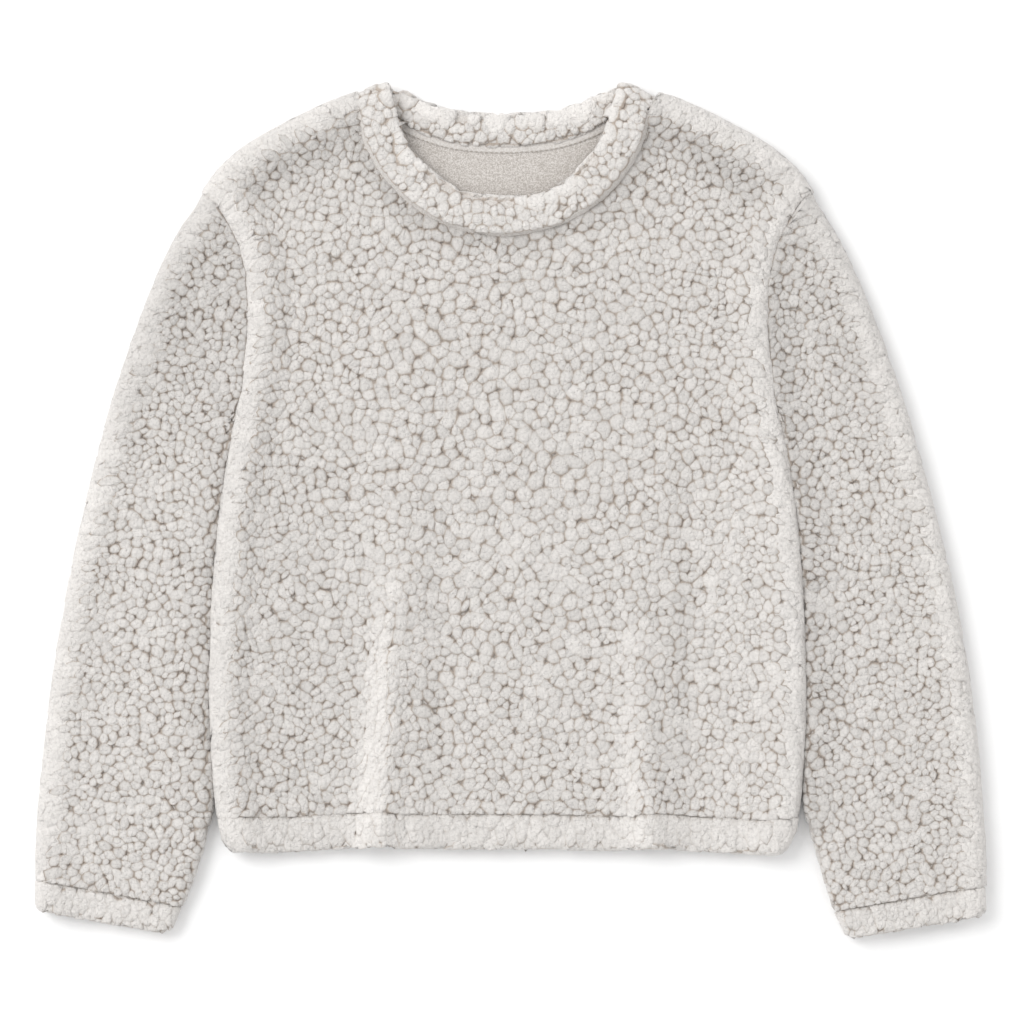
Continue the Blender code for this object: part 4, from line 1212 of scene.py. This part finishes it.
freeEdges = {"front": freeEdge(bandFrontTable), "back": freeEdge(bandBackTable)}


def bandFreeWay(points):
    # distance and way to the free edge, on the front ply above and the back ply below
    frontGap, frontWay = nearestOnPath(points[:, :2], freeEdges["front"])
    backGap, backWay = nearestOnPath(points[:, :2], freeEdges["back"])
    above = points[:, 2] > 15.5 * mm
    distance = np.where(above, frontGap, backGap)
    way = np.where(above[:, None], frontWay, backWay)
    return distance, np.column_stack([way / np.maximum(distance, 1e-6)[:, None], np.zeros(len(points))])


def foldEnd(points):
    # 1 at the two ends of the neck opening, where the strip turns from front to back
    half = np.abs(points[:, 0] - garment["neckCentre"]) / mm
    return smoothFade((half - 78) / 14)


def bandComb(points, normals):
    distance, away = bandFreeWay(points)
    away[distance > 15 * mm] = 0
    return away, 1.4 - 0.35 * foldEnd(points)


bandTufts = {
    "plain": 7.6, "freeEdge": 6.6,                   # millimetres across
    "height": 3.0, "taller": 1.5, "tallerBehind": 0.6,
    "soft": 0.50, "softerBehind": 0.24, "matted": 0.45,
    # painted highlight on the band and more on its free edge
    "paintedHighlight": -0.45, "paintedHighlightEdge": -0.35,
    "strip": 2.9, "stripAtSides": 1.7,               # bare beside the seam
}


def besideFreeEdge(points):
    distance, _ = bandFreeWay(points)
    return nearTo(distance, 5 * mm, 7 * mm)


def bandSoftness(points, normals):
    behind = points[:, 2] < 15.5 * mm
    soft = bandTufts["soft"] + bandTufts["softerBehind"] * behind
    return soft * besideFreeEdge(points) * (1 - 0.30 * foldEnd(points))


def bandSize(points, normals):
    edge = bandTufts["freeEdge"] * besideFreeEdge(points)
    return (bandTufts["plain"] + edge * (1 - 0.4 * foldEnd(points))) * mm


def bandHeight(points, normals):
    behind = points[:, 2] < 15.5 * mm
    taller = bandTufts["taller"] + bandTufts["tallerBehind"] * behind
    return (bandTufts["height"] + taller * besideFreeEdge(points)) * mm


def bandKeep(points, normals):
    half = np.abs(points[:, 0] - garment["neckCentre"])
    strip = (bandTufts["strip"] + bandTufts["stripAtSides"] * smoothFade((half - 20 * mm) / (60 * mm))) * mm
    seam = gapTo(points, frontPaths["neck"]) > strip
    return seam | (points[:, 2] < 13 * mm)


def bandPaintedLight(points, normals):
    # painted highlight: lighter than the panels, most of all along its free edge
    return bandTufts["paintedHighlight"] + bandTufts["paintedHighlightEdge"] * besideFreeEdge(points)


bandLook = dict(frontLook)
bandLook.update({
    "keep": bandKeep,
    "size": bandSize, "height": bandHeight,
    "comb": bandComb, "softness": bandSoftness, "lean": 0.25,
    "barrier": noBarrier, "floor": 0.0003, "parts": wholePiece, "label": oneLabel,
    "curved": 1.0, "overhang": 0, "spread": 1.24, "longest": 0.60, "missLimit": 0.5,
    "matted": lambda points: bandTufts["matted"], "paintedShade": bandPaintedLight,
})
bandBase = baseData(bandCloth)
bandTree = bandBase[3]
bandPile = growPile("neckband_pile", bandBase, bandLook, pile, 33)
thickenCloth(bandCloth, 1.6 * mm)
print("neckband done")


def stripGrid(path, offsets, heights):
    # a narrow ribbon beside a path: offsets run to the panel's side
    along = np.gradient(path, axis=0)
    along /= np.linalg.norm(along, axis=1, keepdims=True)
    beside = np.column_stack([along[:, 1], -along[:, 0]])
    columns = [np.column_stack([path + beside * offset, height])
               for offset, height in zip(offsets, heights)]
    return np.array(columns).transpose(1, 0, 2)


thread, _ = newMaterial("thread", {
    "Base Color": (0.41, 0.37, 0.325, 1), "Roughness": 0.8, "Sheen Weight": 0.2})
stitchSize = {"length": 3.0 * mm, "gap": 1.4 * mm, "radius": 0.45 * mm}


def sewLine(name, path, tree, up):
    # short rounded stitches laid along a path on a piece of cloth
    steps = np.linalg.norm(np.diff(path, axis=0), axis=1)
    reach = np.concatenate([[0], np.cumsum(steps)])
    pitch = stitchSize["length"] + stitchSize["gap"]
    starts = np.arange(pitch / 2, reach[-1] - pitch, pitch)
    bm = bmesh.new()
    for start in starts:
        ends = []
        for spot in (start, start + stitchSize["length"]):
            x = float(np.interp(spot, reach, path[:, 0]))
            y = float(np.interp(spot, reach, path[:, 1]))
            hit = tree.ray_cast(Vector((x, y, 0.2 * up)), Vector((0, 0, -up)))
            if hit[0] is not None:
                ends.append(hit[0] + Vector((0, 0, 0.15 * mm * up)))
        if len(ends) < 2:
            continue
        middle = (ends[0] + ends[1]) / 2
        way = ends[1] - ends[0]
        if way.length > 2 * stitchSize["length"]:
            continue
        made = bmesh.ops.create_uvsphere(bm, u_segments=6, v_segments=4, radius=1)
        turn = way.to_track_quat("Z", "Y").to_matrix()
        for vert in made["verts"]:
            co = Vector((vert.co.x * stitchSize["radius"], vert.co.y * stitchSize["radius"],
                         vert.co.z * way.length / 2))
            vert.co = turn @ co + middle
    piece = bmeshObject(name, bm)
    piece.data.materials.append(thread)
    return piece


neckPath = frontPaths["neck"]
neckHalf = np.abs(neckPath[:, 0] - garment["neckCentre"]) / mm
table = np.array(bandFrontTable, float)
bandMiddle = np.interp(neckHalf, table[:, 0], table[:, 4]) * mm
stripOffsets = np.array([-5.0, -3.6, -2.0, 0.0, 1.8, 3.8, 5.2]) * mm
frontStrip = stripGrid(neckPath, stripOffsets, [bandMiddle] * 7)


def heightOver(points, trees):
    # the highest cloth over each point, gaps filled and evened out along the path
    heights = []
    for x, y in points.tolist():
        hits = [tree.ray_cast(Vector((x, y, 0.1)), Vector((0, 0, -1)))[0] for tree in trees]
        tops = [hit.z for hit in hits if hit is not None and hit.z > 12 * mm]
        heights.append(max(tops, default=np.nan))
    heights = np.array(heights)
    known = ~np.isnan(heights)
    order = np.arange(len(heights))
    heights = np.interp(order, order[known], heights[known])
    even = np.convolve(np.pad(heights, 1, mode="edge"), np.ones(3) / 3, mode="valid")
    return np.maximum(even, heights)


for column, lift in enumerate([0.1, 0.3, 0.3, 0.5, 0.9, 0.8, -0.3]):
    if stripOffsets[column] != 0:
        spots = frontStrip[:, column, :2]
        nearEnds = 0.8 * smoothFade((neckHalf - 96) / 14)
        frontStrip[:, column, 2] = heightOver(spots, [bandTree, frontTree]) + (lift + nearEnds) * mm
frontStrip[:, 3, 2] = 0.3 * frontStrip[:, 2, 2] + 0.7 * frontStrip[:, 4, 2]
frontTape = gridObject("neck_seam_front", frontStrip, np.zeros(frontStrip.shape) + [0, 0, 1])
backPath = backPaths["neck"]
backStrip = stripGrid(backPath, [-4 * mm, -1 * mm, 1.5 * mm, 3.6 * mm, 5.2 * mm, 5.8 * mm],
                      [np.full(len(backPath), z * mm) for z in (8.9, 9.6, 9.8, 9.7, 9.5, 8.7)])
backTape = gridObject("neck_seam_back", backStrip, np.zeros(backStrip.shape) + [0, 0, 1])
for tape in (frontTape, backTape):
    tape.data.materials.append(ground)
tapeTrees = [baseData(frontTape)[3], baseData(backTape)[3]]
neckStitches = [
    sewLine("neck_stitches_outer", frontStrip[:, 4, :2], tapeTrees[0], 1),
    sewLine("neck_stitches_inner", frontStrip[:, 1, :2], tapeTrees[0], 1),
    sewLine("neck_stitches_back", backStrip[:, 4, :2], tapeTrees[1], 1),
]
hemLine = smoothRows(stitchLine, 120)
hemStitchPieces = [sewLine("hem_stitches_front", hemLine, frontTree, 1),
                   sewLine("hem_stitches_back", hemLine, backTree, -1)]
cuffStitchPieces = {}
for side, (line, tree) in sleeveLines.items():
    cuffStitchPieces[side] = [sewLine("cuff_stitches_" + side + ending, np.array(line), tree, up)
                              for ending, up in (("_top", 1), ("_under", -1))]
print("stitches done")

pieces = {
    "front": (frontCloth, frontPile), "back": (backCloth, backPile),
    "sleeve_left": sleevePieces["left"], "sleeve_right": sleevePieces["right"],
    "neckband": (bandCloth, bandPile),
}
extras = {
    "front": [hemStitchPieces[0]], "back": [hemStitchPieces[1]],
    "sleeve_left": cuffStitchPieces["left"], "sleeve_right": cuffStitchPieces["right"],
    "neckband": [frontTape, backTape] + neckStitches,
}
for node, (clothPiece, pileParts) in pieces.items():
    for piece in [clothPiece] + pileParts + extras[node]:
        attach(piece, "root")
        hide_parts(node)
for side in ("left", "right"):
    clothPiece, pileParts = sleevePieces[side]

studio = {
    "pixel": 0.88 * mm,              # what one pixel of the picture covers on the cloth
    "pictureWidth": 1024,
    "aim": (1.3 * mm, -0.9 * mm),
    "cameraHeight": 4.0,
    "focusHeight": 16 * mm,
    "skyStrength": 0.85,
    "floorHalf": 4.0,
    "lampPlace": (-4.0, 2.6, 5.4),
    "lampSize": 4.4,
    "lampPower": 245,
}
bm = bmesh.new()
bmesh.ops.create_grid(bm, x_segments=2, y_segments=2, size=studio["floorHalf"])
floor = bmeshObject("studioFloor", bm)
floorPaint, _ = newMaterial("paleFloor", {"Base Color": (0.98, 0.98, 0.98, 1), "Roughness": 0.9})
floor.data.materials.append(floorPaint)

world = bpy.data.worlds.new("softSky")
world.use_nodes = True
sky = world.node_tree.nodes["Background"].inputs
sky["Color"].default_value = (1, 1, 1, 1)
sky["Strength"].default_value = studio["skyStrength"]
bpy.context.scene.world = world
bpy.context.scene.view_settings.view_transform = "Standard"

lamp = bpy.data.lights.new("keyLamp", "AREA")
lamp.shape = "DISK"
lamp.size = studio["lampSize"]
lamp.energy = studio["lampPower"]
lampItem = bpy.data.objects.new("keyLamp", lamp)
lampItem.location = studio["lampPlace"]
lampItem.rotation_euler = (-Vector(studio["lampPlace"])).to_track_quat("-Z", "Y").to_euler()
bpy.context.scene.collection.objects.link(lampItem)

lens = bpy.data.cameras.new("camera")
lens.sensor_width = 36
distance = studio["cameraHeight"] - studio["focusHeight"]
lens.lens = 36 * distance / (studio["pictureWidth"] * studio["pixel"])
camera = bpy.data.objects.new("camera", lens)
camera.location = (studio["aim"][0], studio["aim"][1], studio["cameraHeight"])
bpy.context.scene.collection.objects.link(camera)
bpy.context.scene.camera = camera

bpy.context.view_layer.update()
